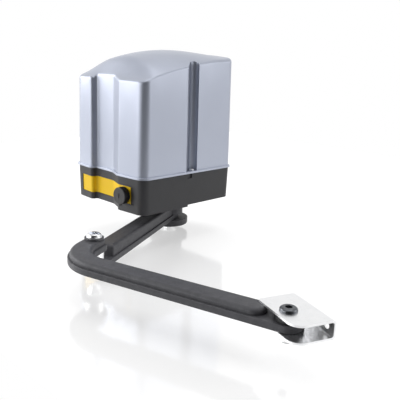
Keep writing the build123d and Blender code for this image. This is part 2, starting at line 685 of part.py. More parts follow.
def output_shaft():
    square_z = BOSS_BOTTOM_Z - JOINT_GAP * 2
    shoulder_z = LID_TOP_Z - UPPER_BEARING[2] - BEARING_GAP
    shaft = rod(0, OUTPUT_Y, square_z, OUTPUT_SHAFT_R, shoulder_z - square_z)
    shaft += rod(0, OUTPUT_Y, shoulder_z, OUTPUT_JOURNAL_R, LID_TOP_Z - shoulder_z)
    end = Pos(0, OUTPUT_Y, HUB_BOTTOM_Z) * Box(SHAFT_SQUARE, SHAFT_SQUARE, square_z - HUB_BOTTOM_Z, align=LOW)
    shaft += end & rod(0, OUTPUT_Y, HUB_BOTTOM_Z, OUTPUT_SHAFT_R, square_z - HUB_BOTTOM_Z)
    shaft -= rod(0, OUTPUT_Y, HUB_BOTTOM_Z, SHAFT_BOLT_R, SLAB_T * 2)
    return shaft - Pos(0, OUTPUT_Y, OUTPUT_GEAR_Z) * gear_key_block()


def idler_shaft():
    """One turned shaft: foot journal, pinion, collar, clutch hexagon and top journal."""
    foot_r, _, foot_w = IDLER_FOOT_BEARING
    mid_r = IDLER_MID_BEARING[0]
    top_r = IDLER_TOP_BEARING[0]
    pinion_z = OUTPUT_GEAR_Z - PINION_OVERHANG
    pinion_t = OUTPUT_GEAR_T + PINION_OVERHANG * 2
    share = tooth_share(GEAR_MODULE, PINION_TEETH)
    half_turn = 360 / 2
    face = gear_face(GEAR_MODULE, PINION_TEETH, share, IDLER_DIR + half_turn + half_turn / PINION_TEETH)
    shaft = rod(0, 0, FLOOR_Z, foot_r, pinion_z - FLOOR_Z)
    shaft += Pos(0, 0, pinion_z) * extrude(face, pinion_t)
    shaft += rod(0, 0, pinion_z + pinion_t, mid_r, LID_TOP_Z + BEARING_GAP - pinion_z - pinion_t)
    hexagon = hex_rod(0, 0, LID_TOP_Z, CLUTCH_HEX, WHEEL_Z - WHEEL_HUB_DROP - LID_TOP_Z)
    shaft += hexagon
    shaft += rod(0, 0, WHEEL_Z - WHEEL_HUB_DROP, top_r, BRIDGE_TOP_Z + BRIDGE_TOP_T - WHEEL_Z + WHEEL_HUB_DROP)
    return Pos(IDLER_X, IDLER_Y, 0) * shaft


def dogs(gap):
    """The clutch dogs, which stand on the collar and fit slots in the wheel's hub."""
    root = CLUTCH_HEX * 0.62
    width = DOG_WIDTH + gap * 2
    bar = Pos((root + CLUTCH_R) / 2, 0, 0) * Box(CLUTCH_R - root + gap * 2, width, DOG_HEIGHT + gap, align=LOW)
    ring = Cylinder(CLUTCH_R + gap, DOG_HEIGHT + gap, align=LOW)
    return [Rot(0, 0, step * 360 / DOG_COUNT) * (bar & ring) for step in range(DOG_COUNT)]


def clutch_collar():
    collar = Cylinder(CLUTCH_R, CLUTCH_T, align=LOW)
    groove = Cylinder(CLUTCH_R, CLUTCH_GROOVE_T, align=LOW) - Cylinder(CLUTCH_GROOVE_R, CLUTCH_GROOVE_T, align=LOW)
    collar -= Pos(0, 0, (CLUTCH_T - CLUTCH_GROOVE_T) / 2) * groove
    collar += Pos(0, 0, CLUTCH_T) * Compound(children=dogs(0))
    collar -= hex_rod(0, 0, 0, CLUTCH_HEX + CLUTCH_FIT * 2, CLUTCH_T + DOG_HEIGHT)
    return Pos(IDLER_X, IDLER_Y, CLUTCH_Z) * collar


def worm_wheel():
    share = WHEEL_TOOTH_SHARE
    face = gear_face(WORM_MODULE, WHEEL_TEETH, share, 90.0)
    lead = 360 * math.tan(WORM_LEAD) * WHEEL_T / (2 * math.pi * WHEEL_PITCH_R)
    rim = Solid.extrude_linear_with_rotation(face.face(), (0, 0, 0), (0, 0, WHEEL_T), lead)
    wheel = Rot(0, 0, -lead / 2) * Pos(0, 0, -WHEEL_T / 2) * Compound(children=[rim])
    wheel += Pos(0, 0, -WHEEL_T / 2 - WHEEL_HUB_DROP) * Cylinder(CLUTCH_R, WHEEL_HUB_DROP, align=LOW)
    top_r = IDLER_TOP_BEARING[0]
    wheel -= Cylinder(top_r, WHEEL_T * 2)
    slots = Pos(0, 0, -WHEEL_T / 2 - WHEEL_HUB_DROP) * Compound(children=dogs(DOG_GAP))
    wheel -= slots
    return Pos(IDLER_X, IDLER_Y, WORM_Z) * wheel


def motor_shaft():
    """The motor's shaft with the worm cut on it, from the rear bearing to the encoder disc."""
    root_r = WORM_PITCH_R - WORM_MODULE * 1.2
    tip_r = WORM_PITCH_R + WORM_MODULE * 0.85
    path = Helix(WORM_PITCH, WORM_LENGTH - WORM_PITCH, root_r)
    half = WORM_PITCH * WORM_TOOTH_SHARE / 2
    sink = root_r / 12
    profile = Polyline(
        (root_r - sink, -half * 1.6), (tip_r, -half * 0.5), (tip_r, half * 0.5), (root_r - sink, half * 1.6),
        close=True,
    )
    tooth = make_face(Plane.XZ * profile)
    thread = sweep(tooth, path=path, is_frenet=True)
    core = Cylinder(root_r, WORM_LENGTH, align=LOW)
    worm = core + Pos(0, 0, WORM_PITCH / 2) * thread
    worm = Rot(0, 0, WORM_PHASE) * worm
    start = MOTOR_FACE_X - MOTOR_LENGTH - END_CAP_T / 2
    end = POST_BACK_X + BRIDGE_WALL + ENCODER_T * 4
    shaft = rod_x(start, WORM_Y, WORM_Z, MOTOR_SHAFT_R, end - start)
    seat = Plane(origin=(IDLER_X - WORM_LENGTH / 2, WORM_Y, WORM_Z), x_dir=(0, 1, 0), z_dir=(1, 0, 0))
    return shaft + seat * worm


def bearing_at(sizes, x, y, z):
    return Pos(x, y, z) * ring_bearing(sizes)


def worm_bearings():
    width = WORM_BEARING[2]
    ring = ring_bearing(WORM_BEARING)
    front = Plane(origin=(MOTOR_FACE_X + BRIDGE_WALL - width, WORM_Y, WORM_Z), x_dir=(0, 1, 0), z_dir=(1, 0, 0))
    back = Plane(origin=(POST_BACK_X, WORM_Y, WORM_Z), x_dir=(0, 1, 0), z_dir=(1, 0, 0))
    return [front * ring, back * ring]


def idler_bearings():
    _, _, foot_w = IDLER_FOOT_BEARING
    _, _, mid_w = IDLER_MID_BEARING
    _, _, top_w = IDLER_TOP_BEARING
    return [
        bearing_at(IDLER_FOOT_BEARING, IDLER_X, IDLER_Y, FLOOR_Z),
        bearing_at(IDLER_MID_BEARING, IDLER_X, IDLER_Y, LID_TOP_Z - mid_w),
        bearing_at(IDLER_TOP_BEARING, IDLER_X, IDLER_Y, BRIDGE_TOP_Z + BRIDGE_TOP_T - top_w),
    ]


RACK_DISTANCE = IDLER_Y - RACK_SETBACK - wing_y(KNOB_X)
# Release rack: an upright bar beside the spindle's pinion, seen in the wing plane.
RACK_PITCH_R = RACK_MODULE * RACK_PINION_TEETH / 2
RACK = WING * Pos(RACK_PITCH_R, 0, -RACK_DISTANCE)
RACK_BAR_X = RACK_MODULE * 1.25
RACK_TIP = RACK_MODULE * 0.8
RACK_BAR_AT = (WING * Pos(RACK_PITCH_R + RACK_BAR_X + RACK_BAR_WIDTH / 2, 0, -RACK_DISTANCE)).position
RACK_BAR_AT = Vector(RACK_BAR_AT.X, RACK_BAR_AT.Y, 0)
IDLER_AT = Vector(IDLER_X, IDLER_Y, 0)
CLUTCH_MID_Z = CLUTCH_Z + CLUTCH_T / 2


def release_spindle():
    spindle = WING * Pos(0, 0, KNOB_SEAT) * Cylinder(
        SPINDLE_R, RACK_DISTANCE + RACK_PINION_T / 2 + KNOB_SEAT, align=(Align.CENTER, Align.CENTER, Align.MAX))
    share = 0.5 - GEAR_BACKLASH / 2 / (math.pi * RACK_MODULE)
    face = gear_face(RACK_MODULE, RACK_PINION_TEETH, share, 360 / RACK_PINION_TEETH / 2)
    pinion = WING * Pos(0, 0, -RACK_DISTANCE - RACK_PINION_T / 2) * extrude(face, RACK_PINION_T)
    relief = wing_rod(SPINDLE_R * 2, RACK_DISTANCE - RACK_PINION_T / 2, RACK_PINION_T)
    relief -= wing_rod(RACK_PITCH_R - RACK_MODULE * 1.25, RACK_DISTANCE - RACK_PINION_T / 2, RACK_PINION_T)
    return spindle - relief + pinion


def release_rack():
    """The toothed bar beside the spindle's pinion, with the fork that lifts the clutch collar."""
    pitch = math.pi * RACK_MODULE
    half = pitch / 2 - GEAR_BACKLASH / 2
    bar_top = CLUTCH_MID_Z - KNOB_Z + FORK_T / 2
    bar_bottom = -pitch * RACK_TOOTH_COUNT / 2 - RACK_MODULE
    outline = [(RACK_BAR_X + RACK_BAR_WIDTH, bar_top), (RACK_BAR_X, bar_top)]
    for step in range(RACK_TOOTH_COUNT - 1, -1, -1):
        middle = (step - (RACK_TOOTH_COUNT - 1) / 2) * pitch
        outline += [
            (RACK_BAR_X, middle + half * 0.85),
            (-RACK_TIP, middle + half * 0.22),
            (-RACK_TIP, middle - half * 0.22),
            (RACK_BAR_X, middle - half * 0.85),
        ]
    outline += [(RACK_BAR_X, bar_bottom), (RACK_BAR_X + RACK_BAR_WIDTH, bar_bottom)]
    face = make_face(Polyline(*outline, close=True))
    bar = RACK * Pos(0, 0, -RACK_BAR_DEPTH / 2) * extrude(face, RACK_BAR_DEPTH)
    inner_r = CLUTCH_GROOVE_R + GUIDE_GAP
    fork = Cylinder(inner_r + FORK_RING_WIDTH, FORK_T) - Cylinder(inner_r, FORK_T)
    fork -= Pos(-inner_r * 2 - FORK_RING_WIDTH / 2, 0, 0) * Box(inner_r * 4, inner_r * 4, FORK_T)
    reach = (RACK_BAR_AT - IDLER_AT).length
    arm = Pos((inner_r + reach) / 2 + 1, 0, 0) * Box(reach - inner_r - 2, RACK_BAR_DEPTH, FORK_T)
    toward = (RACK_BAR_AT - IDLER_AT).normalized()
    seat = Plane(origin=(IDLER_X, IDLER_Y, CLUTCH_MID_Z), x_dir=toward, z_dir=(0, 0, 1))
    return bar + seat * (fork + arm)


def rack_slot(gap):
    """The space that the rack's bar slides in."""
    width = RACK_BAR_WIDTH + gap * 2
    depth = RACK_BAR_DEPTH + gap * 2
    middle = WING * Pos(RACK_PITCH_R + RACK_BAR_X + RACK_BAR_WIDTH / 2, 0, -RACK_DISTANCE)
    return middle * Box(width, BASE_HEIGHT * 2, depth)


def gearbox_lid():
    inset = BASE_WALL + LID_GAP + (BASE_TOP_Z - LID_Z) * math.tan(math.radians(BASE_DRAFT))
    lid = raised(inset, LID_Z, LID_TOP_Z)
    _, upper_race, upper_width = UPPER_BEARING
    _, mid_race, mid_width = IDLER_MID_BEARING
    boss_drop = upper_width - LID_T + LID_BOSS_WALL / 2
    lid += rod(0, OUTPUT_Y, LID_Z - boss_drop, upper_race + LID_BOSS_WALL, boss_drop)
    lid -= rod(0, OUTPUT_Y, LID_TOP_Z - upper_width, upper_race, upper_width)
    lid -= rod(0, OUTPUT_Y, LID_Z - boss_drop, upper_race - BUSH_WALL, boss_drop + LID_T)
    mid_drop = mid_width - LID_T + BUSH_WALL
    lid += rod(IDLER_X, IDLER_Y, LID_Z - mid_drop, mid_race + LID_BOSS_WALL, mid_drop)
    lid -= rod(IDLER_X, IDLER_Y, LID_TOP_Z - mid_width, mid_race, mid_width)
    lid -= rod(IDLER_X, IDLER_Y, LID_Z - mid_drop, mid_race - BUSH_WALL, mid_drop + LID_T)
    for x, y in LID_POSTS + BRIDGE_SCREWS:
        lid -= rod(x, y, LID_Z, LID_SCREW_R, LID_T)
    for side in (-1, 1):
        lid -= rod(side * COVER_SCREW_X, GROOVE_Y, LID_Z, COVER_POST_R + LID_GAP, LID_T)
    lid -= rod(CABLE_X, CABLE_Y, LID_Z, CABLE_HOLE_R, LID_T)
    for x, z in WALL_HOLES:
        lid -= rod_y(x, BASE_BACK_Y, z, WALL_PAD_R + LID_GAP, BASE_WALL + WALL_PAD_T + LID_GAP)
    guide = block(0, BASE_WIDTH, BASE_FRONT_Y, 0, LID_TOP_Z, LID_TOP_Z + GUIDE_HEIGHT)
    lid += guide & rack_slot(GUIDE_GAP + GUIDE_WALL)
    return lid - rack_slot(GUIDE_GAP)


def lid_screws():
    length = LID_T + LID_POST_R
    return [pan_screw(x, y, LID_TOP_Z, LID_SCREW_R, length, LID_SCREW_R * 1.8) for x, y in LID_POSTS]


BRIDGE_HALF_Y = MOTOR_R + 1
BRIDGE_SCREW_BACK_Y = OUTPUT_Y + UPPER_BEARING[1] + LID_BOSS_WALL + BRIDGE_SCREW_R
BRIDGE_SCREWS = [
    (MOTOR_FACE_X - BRIDGE_FOOT / 2, WORM_Y - MOTOR_R + BRIDGE_SCREW_R),
    (MOTOR_FACE_X - BRIDGE_FOOT / 2, BRIDGE_SCREW_BACK_Y),
    (POST_FRONT_X + BRIDGE_FOOT / 2, WORM_Y - BRIDGE_FOOT),
    (POST_FRONT_X + BRIDGE_FOOT / 2, WORM_Y + BRIDGE_FOOT / 2),
]
MOTOR_SCREWS = [
    (WORM_Y + sy * (MOTOR_R - LID_SCREW_R * 2), WORM_Z + sz * (MOTOR_R - LID_SCREW_R * 2))
    for sy in (-1, 1)
    for sz in (-1, 1)
]


def gear_bridge():
    """The casting that carries the motor, both worm bearings and the idler's top bearing."""
    top_z = BRIDGE_TOP_Z + BRIDGE_TOP_T
    flange = block(MOTOR_FACE_X, MOTOR_FACE_X + BRIDGE_WALL, WORM_Y - BRIDGE_HALF_Y,
                   WORM_Y + BRIDGE_HALF_Y, LID_TOP_Z, WORM_Z + BRIDGE_HALF_Y)
    foot = block(MOTOR_FACE_X - BRIDGE_FOOT, MOTOR_FACE_X + BRIDGE_WALL, WORM_Y - BRIDGE_HALF_Y,
                 BRIDGE_SCREW_BACK_Y + BRIDGE_SCREW_R * 2, LID_TOP_Z, LID_TOP_Z + BRIDGE_FOOT_T)
    post_y0, post_y1 = WORM_Y - BRIDGE_FOOT * 1.5, WORM_Y + BRIDGE_FOOT
    post = block(POST_BACK_X, POST_FRONT_X, post_y0, post_y1, LID_TOP_Z, top_z)
    post_foot = block(POST_FRONT_X, POST_FRONT_X + BRIDGE_FOOT, post_y0, post_y1,
                      LID_TOP_Z, LID_TOP_Z + BRIDGE_FOOT_T)
    _, top_race, top_width = IDLER_TOP_BEARING
    deck = block(MOTOR_FACE_X, POST_FRONT_X, IDLER_Y, post_y1, BRIDGE_TOP_Z, top_z)
    deck += rod(IDLER_X, IDLER_Y, BRIDGE_TOP_Z, top_race + LID_BOSS_WALL * 1.5, BRIDGE_TOP_T)
    body = flange + foot + post + post_foot + deck
    body -= rod(IDLER_X, IDLER_Y, WHEEL_Z - WHEEL_CLEARANCE, WHEEL_PITCH_R + WORM_MODULE + WHEEL_CLEARANCE,
                WHEEL_T + WHEEL_CLEARANCE * 2)
    body -= rod(IDLER_X, IDLER_Y, top_z - top_width, top_race, top_width)
    body -= rod(IDLER_X, IDLER_Y, BRIDGE_TOP_Z, top_race - BUSH_WALL, BRIDGE_TOP_T)
    body -= rod_x(MOTOR_FACE_X, WORM_Y, WORM_Z, WORM_BEARING[1], BRIDGE_WALL)
    body -= rod_x(POST_BACK_X, WORM_Y, WORM_Z, WORM_BEARING[1], BRIDGE_WALL)
    for x, y in BRIDGE_SCREWS:
        body -= rod(x, y, LID_TOP_Z, BRIDGE_SCREW_R, BRIDGE_FOOT_T)
    for y, z in MOTOR_SCREWS:
        body -= rod_x(MOTOR_FACE_X, y, z, LID_SCREW_R, BRIDGE_WALL)
        body -= rod_x(MOTOR_FACE_X + BRIDGE_WALL, y, z, LID_SCREW_R * 2, PAN_HEAD_H * 2)
    return body


def bridge_screws():
    z = LID_TOP_Z + BRIDGE_FOOT_T
    length = BRIDGE_FOOT_T + LID_T
    return [pan_screw(x, y, z, BRIDGE_SCREW_R, length, BRIDGE_SCREW_R * 1.8) for x, y in BRIDGE_SCREWS]


def motor_can():
    """The drawn can with its square front flange and the hole for the shaft."""
    back_x = MOTOR_FACE_X - MOTOR_LENGTH
    can = rod_x(back_x, WORM_Y, WORM_Z, MOTOR_R, MOTOR_LENGTH)
    half = MOTOR_R
    flange = block(MOTOR_FACE_X - BRIDGE_SCREW_R, MOTOR_FACE_X, WORM_Y - half, WORM_Y + half,
                   WORM_Z - half, WORM_Z + half)
    can += flange
    can -= rod_x(back_x, WORM_Y, WORM_Z, MOTOR_R - MOTOR_WALL, MOTOR_LENGTH - MOTOR_WALL)
    can -= rod_x(back_x, WORM_Y, WORM_Z, MOTOR_SHAFT_R * 1.6, MOTOR_LENGTH)
    for y, z in MOTOR_SCREWS:
        can -= rod_x(MOTOR_FACE_X - BRIDGE_SCREW_R, y, z, LID_SCREW_R, BRIDGE_SCREW_R)
    return can


def motor_screws():
    """Four screws through the bridge into the can's flange, heads on the bridge."""
    screws = []
    for y, z in MOTOR_SCREWS:
        seat = Plane(origin=(MOTOR_FACE_X + BRIDGE_WALL, y, z), x_dir=(0, 1, 0), z_dir=(1, 0, 0))
        length = BRIDGE_WALL + BRIDGE_SCREW_R
        screws.append(seat * pan_screw(0, 0, 0, LID_SCREW_R, length, LID_SCREW_R * 1.8))
    return screws


def motor_end_cap():
    back_x = MOTOR_FACE_X - MOTOR_LENGTH
    cap = rod_x(back_x - END_CAP_T, WORM_Y, WORM_Z, MOTOR_R, END_CAP_T)
    cap = fillet(cap.edges().sort_by(Axis.X)[0], END_CAP_T / 2)
    bore = MOTOR_SHAFT_R + RUNNING_FIT
    return cap - rod_x(back_x - END_CAP_T / 2, WORM_Y, WORM_Z, bore, END_CAP_T)


def motor_magnets():
    """Two curved magnets that line the can."""
    outer_r = MOTOR_R - MOTOR_WALL
    ring = Cylinder(outer_r, ROTOR_LENGTH, align=LOW) - Cylinder(outer_r - MAGNET_T, ROTOR_LENGTH, align=LOW)
    reach = MOTOR_R * 2
    start, finish = polar(-MAGNET_ARC / 2, reach), polar(MAGNET_ARC / 2, reach)
    wedge = extrude(make_face(Polyline((0, 0), start, (reach, 0), finish, close=True)), ROTOR_LENGTH)
    x = MOTOR_FACE_X - MOTOR_LENGTH / 2 - ROTOR_LENGTH / 2
    seat = Plane(origin=(x, WORM_Y, WORM_Z), x_dir=(0, 1, 0), z_dir=(1, 0, 0))
    return [seat * Rot(0, 0, turn) * (ring & wedge) for turn in (0, 180)]


def motor_rotor():
    core = Cylinder(ROTOR_R, ROTOR_LENGTH, align=LOW)
    for step in range(ROTOR_SLOTS):
        slot = Pos(ROTOR_R, 0, ROTOR_LENGTH / 2) * Box(ROTOR_SLOT_DEPTH * 2, ROTOR_SLOT_WIDTH, ROTOR_LENGTH)
        core -= Rot(0, 0, step * 360 / ROTOR_SLOTS) * slot
    core -= Cylinder(MOTOR_SHAFT_R, ROTOR_LENGTH, align=LOW)
    x = MOTOR_FACE_X - MOTOR_LENGTH / 2 - ROTOR_LENGTH / 2
    seat = Plane(origin=(x, WORM_Y, WORM_Z), x_dir=(0, 1, 0), z_dir=(1, 0, 0))
    return seat * core


def encoder_disc():
    disc = Cylinder(ENCODER_R, ENCODER_T, align=LOW) - Cylinder(MOTOR_SHAFT_R, ENCODER_T, align=LOW)
    for step in range(ENCODER_SLOTS):
        window = Pos(ENCODER_R, 0, ENCODER_T / 2) * Box(ENCODER_R / 3, ENCODER_T, ENCODER_T)
        disc -= Rot(0, 0, step * 360 / ENCODER_SLOTS) * window
    seat = Plane(origin=(POST_FRONT_X + ENCODER_T, WORM_Y, WORM_Z), x_dir=(0, 1, 0), z_dir=(1, 0, 0))
    return seat * disc


TRAY_POSTS = [
    (side * (TRAY_WIDTH / 2 - TRAY_POST_INSET), y)
    for side in (-1, 1)
    for y in (TRAY_BACK_Y - TRAY_POST_INSET, TRAY_FRONT_Y + TRAY_POST_INSET)
]
BOARD_Y = (TRAY_BACK_Y + TRAY_FRONT_Y) / 2
BOARD_Z = TRAY_Z + TRAY_T + BOARD_LIFT
BOARD_TOP_Z = BOARD_Z + BOARD_T
BOARD_HOLES = [
    (sx * (BOARD_WIDTH / 2 - STANDOFF_R * 1.5), BOARD_Y + sy * (BOARD_DEPTH / 2 - STANDOFF_R * 1.5))
    for sx in (-1, 1)
    for sy in (-1, 1)
]


def tray_posts():
    return [rod(x, y, LID_TOP_Z, TRAY_POST_R, TRAY_Z - LID_TOP_Z) for x, y in TRAY_POSTS]


def board_tray():
    tray = block(-TRAY_WIDTH / 2, TRAY_WIDTH / 2, TRAY_FRONT_Y, TRAY_BACK_Y, TRAY_Z, TRAY_Z + TRAY_T)
    tray = fillet(tray.edges().filter_by(Axis.Z), TRAY_POST_INSET)
    for x, y in TRAY_POSTS:
        tray -= rod(x, y, TRAY_Z, LID_SCREW_R, TRAY_T)
    return tray


def tray_screws():
    z = TRAY_Z + TRAY_T
    return [rod(x, y, z, LID_SCREW_R * 1.8, PAN_HEAD_H) + rod(x, y, TRAY_Z, LID_SCREW_R - SCREW_FIT, TRAY_T)
            for x, y in TRAY_POSTS]


def board_standoffs():
    return [rod(x, y, TRAY_Z + TRAY_T, STANDOFF_R, BOARD_LIFT) for x, y in BOARD_HOLES]


def control_board():
    board = block(-BOARD_WIDTH / 2, BOARD_WIDTH / 2, BOARD_Y - BOARD_DEPTH / 2, BOARD_Y + BOARD_DEPTH / 2,
                  BOARD_Z, BOARD_TOP_Z)
    for x, y in BOARD_HOLES:
        board -= rod(x, y, BOARD_Z, BOARD_SCREW_R, BOARD_T)
    return board


def terminal_blocks():
    width, depth, height = TERMINAL_SIZE
    count = int((BOARD_WIDTH - STANDOFF_R * 6) // TERMINAL_PITCH)
    y = BOARD_Y - BOARD_DEPTH / 2 + depth
    row = []
    for step in range(count):
        x = (step - (count - 1) / 2) * TERMINAL_PITCH
        row.append(Pos(x, y, BOARD_TOP_Z) * Box(width, depth, height, align=LOW))
    return row


def relays():
    width, depth, height = RELAY_SIZE
    return [
        Pos(x, BOARD_Y + BOARD_DEPTH / 4, BOARD_TOP_Z) * Box(width, depth, height, align=LOW)
        for x in (-width * 1.5, 0, width * 1.5)
    ]


def transformer():
    """A toroid with rounded windings."""
    ring = Cylinder(TRANSFORMER_R, TRANSFORMER_H, align=LOW)
    ring -= Cylinder(TRANSFORMER_HOLE_R, TRANSFORMER_H, align=LOW)
    ring = fillet(ring.edges(), TRANSFORMER_ROUND)
    return Pos(TRANSFORMER_X, TRANSFORMER_Y, LID_TOP_Z) * ring


def transformer_clamp():
    """The dished washer and its bolt, which hold the toroid down."""
    washer_z = LID_TOP_Z + TRANSFORMER_H
    clamp = rod(TRANSFORMER_X, TRANSFORMER_Y, washer_z, TRANSFORMER_HOLE_R * 2, CLIP_T)
    clamp += rod(TRANSFORMER_X, TRANSFORMER_Y, washer_z + CLIP_T, LID_SCREW_R * 2, PAN_HEAD_H)
    return clamp + rod(TRANSFORMER_X, TRANSFORMER_Y, LID_TOP_Z, LID_SCREW_R, TRANSFORMER_H)


def capacitor():
    can = Cylinder(CAPACITOR_R, CAPACITOR_H, align=LOW)
    can = fillet(can.edges().sort_by(Axis.Z)[-1], CLIP_T)
    return Pos(CAPACITOR_X, CAPACITOR_Y, LID_TOP_Z) * can


def capacitor_clip():
    ring = Cylinder(CAPACITOR_R + CLIP_T, CAPACITOR_H / 4, align=LOW)
    ring -= Cylinder(CAPACITOR_R, CAPACITOR_H / 4, align=LOW)
    return Pos(CAPACITOR_X, CAPACITOR_Y, LID_TOP_Z) * ring


def cable_grommet():
    ring = rod(CABLE_X, CABLE_Y, BASE_BOTTOM_Z, CABLE_HOLE_R, BASE_FLOOR)
    ring += rod(CABLE_X, CABLE_Y, BASE_BOTTOM_Z - GROMMET_FLANGE_T, GROMMET_FLANGE_R, GROMMET_FLANGE_T)
    ring += rod(CABLE_X, CABLE_Y, FLOOR_Z, GROMMET_FLANGE_R, GROMMET_FLANGE_T)
    return ring - rod(CABLE_X, CABLE_Y, BASE_BOTTOM_Z - GROMMET_FLANGE_T, CABLE_HOLE_R - GROMMET_WALL,
                      BASE_FLOOR + GROMMET_FLANGE_T * 2)


def wall_plate():
    plate = block(-PLATE_WIDTH / 2, PLATE_WIDTH / 2, -PLATE_T, 0, -PLATE_HEIGHT / 2, PLATE_HEIGHT / 2)
    plate = fillet(plate.edges().filter_by(Axis.Y), WALL_PAD_R / 2)
    for x, z in WALL_HOLES:
        plate -= rod_y(x, 0, z, WALL_HOLE_R, PLATE_T)
    for x, z in PLATE_SCREWS:
        plate -= rod_y(x, 0, z, PLATE_SCREW_R, PLATE_T)
    return plate


def plate_screws():
    """Hexagon screws from inside the base into the wall plate."""
    screws = []
    head_y = BASE_BACK_Y - BASE_WALL - WALL_PAD_T
    for x, z in PLATE_SCREWS:
        head = Plane(origin=(x, head_y, z), x_dir=(1, 0, 0), z_dir=(0, -1, 0))
        body = head * extrude(RegularPolygon(PLATE_SCREW_R * 1.6, 6, major_radius=False), PLATE_SCREW_R * 1.3)
        screws.append(body + rod_y(x, head_y + PLATE_SCREW_LENGTH, z, PLATE_SCREW_R - SCREW_FIT, PLATE_SCREW_LENGTH))
    return screws


def shaft_seal():
    """The lip seal below the lower bearing."""
    _, race, width = LOWER_BEARING
    seal_top = FLOOR_Z - width
    height = seal_top - BOSS_BOTTOM_Z
    ring = rod(0, OUTPUT_Y, BOSS_BOTTOM_Z, race - BUSH_WALL, height)
    return ring - rod(0, OUTPUT_Y, BOSS_BOTTOM_Z, OUTPUT_SHAFT_R + RUNNING_FIT, height)


STRAIGHT = Plane(origin=(0, OUTPUT_Y, 0), x_dir=polar(STRAIGHT_REST, 1), z_dir=(0, 0, 1))


def straight_arm():
    """A cast arm: a flat bar with a raised back, a collar above and a round boss below the output shaft."""
    bar = Pos(STRAIGHT_LENGTH / 2, 0) * SlotCenterToCenter(STRAIGHT_LENGTH, ARM_WIDTH)
    slab = extrude(bar, SLAB_T)
    slab = fillet(slab.faces().sort_by(Axis.Z)[0].edges(), ARM_EDGE_R)
    slab = fillet(slab.faces().sort_by(Axis.Z)[-1].edges(), ARM_EDGE_R)
    hat_length = STRAIGHT_LENGTH - STRAIGHT_HAT_END
    hat_width = ARM_WIDTH - LEDGE * 2
    hat = extrude(Pos(hat_length / 2, 0) * Rectangle(hat_length, hat_width) + Circle(hat_width / 2), STRAIGHT_HAT_T)
    hat += Cylinder(COLLAR_R, STRAIGHT_HAT_T, align=LOW)
    hat = fillet(hat.edges().filter_by(Axis.Z).sort_by(Axis.X)[-2:], HAT_SHOULDER_R / 2)
    hat = fillet(hat.faces().sort_by(Axis.Z)[-1].edges(), HAT_SHOULDER_R)
    hat += Cylinder(COLLAR_R - HAT_SHOULDER_R, BOSS_BOTTOM_Z - JOINT_GAP * 2 - SLAB_TOP_Z, align=LOW)
    boss = Cylinder(HUB_BOSS_R, HUB_BOSS_DROP + HUB_BOSS_LAP, align=LOW)
    boss = fillet(boss.faces().sort_by(Axis.Z)[0].edges(), ARM_EDGE_R * 3)
    boss = fillet(boss.faces().sort_by(Axis.Z)[-1].edges(), ARM_EDGE_R)
    arm = slab + Pos(0, 0, SLAB_T) * hat + Pos(0, 0, -HUB_BOSS_DROP) * boss
    arm -= Pos(STRAIGHT_LENGTH, 0, 0) * Cylinder(BOLT_R + RUNNING_FIT + BUSH_WALL, SLAB_T * 3)
    placed = Pos(0, 0, SLAB_BOTTOM_Z) * STRAIGHT * arm
    opening = rod(0, OUTPUT_Y, HUB_BOTTOM_Z, OUTPUT_SHAFT_R, BOSS_BOTTOM_Z - JOINT_GAP * 2 - HUB_BOTTOM_Z)
    square = Pos(0, OUTPUT_Y, HUB_BOTTOM_Z) * Box(SHAFT_SQUARE, SHAFT_SQUARE, BASE_HEIGHT, align=LOW)
    return placed - (opening & square)


def shaft_washer():
    z = HUB_BOTTOM_Z - SHAFT_WASHER_T
    return rod(0, OUTPUT_Y, z, SHAFT_WASHER_R, SHAFT_WASHER_T) - rod(0, OUTPUT_Y, z, SHAFT_BOLT_R, SHAFT_WASHER_T)


def shaft_bolt():
    z = HUB_BOTTOM_Z - SHAFT_WASHER_T
    head_h = SHAFT_BOLT_R * 1.28
    bolt = hex_rod(0, OUTPUT_Y, z - head_h, SHAFT_BOLT_R * 3.2, head_h)
    return bolt + rod(0, OUTPUT_Y, z, SHAFT_BOLT_R, SLAB_T * 2 + SHAFT_WASHER_T)


def sleeve(at, z0, z1, outer, inner):
    """A plain bush on an upright axis."""
    return rod(at.X, at.Y, z0, outer, z1 - z0) - rod(at.X, at.Y, z0, inner, z1 - z0)


BUSH_BORE = BOLT_R + RUNNING_FIT
BUSH_R = BUSH_BORE + BUSH_WALL


def elbow_bush():
    return sleeve(ELBOW, SLAB_BOTTOM_Z, CURVED_BOTTOM_Z - JOINT_GAP, BUSH_R, BUSH_BORE)


def elbow_spacer():
    return sleeve(ELBOW, SLAB_TOP_Z, CURVED_BOTTOM_Z - JOINT_GAP, ELBOW_SPACER_R, BUSH_R)


def arm_path(end_trim):
    """Centreline of the curved arm from the elbow to its gate end, less a trim at that end."""
    finish = PIVOT - polar(CURVED_REST, end_trim)
    leg = Line(ELBOW, LEG_END)
    bend = CenterArc(BEND_CENTRE, CURVED_BEND_R, CURVED_REST - CURVED_BEND - 90, CURVED_BEND)
    straight = Line(BEND_END, finish)
    return Wire([leg.edge(), bend.edge(), straight.edge()])


def band(path, half):
    """A round-ended strip of this half width on both sides of a path."""
    return make_face(path.offset_2d(half).edges())


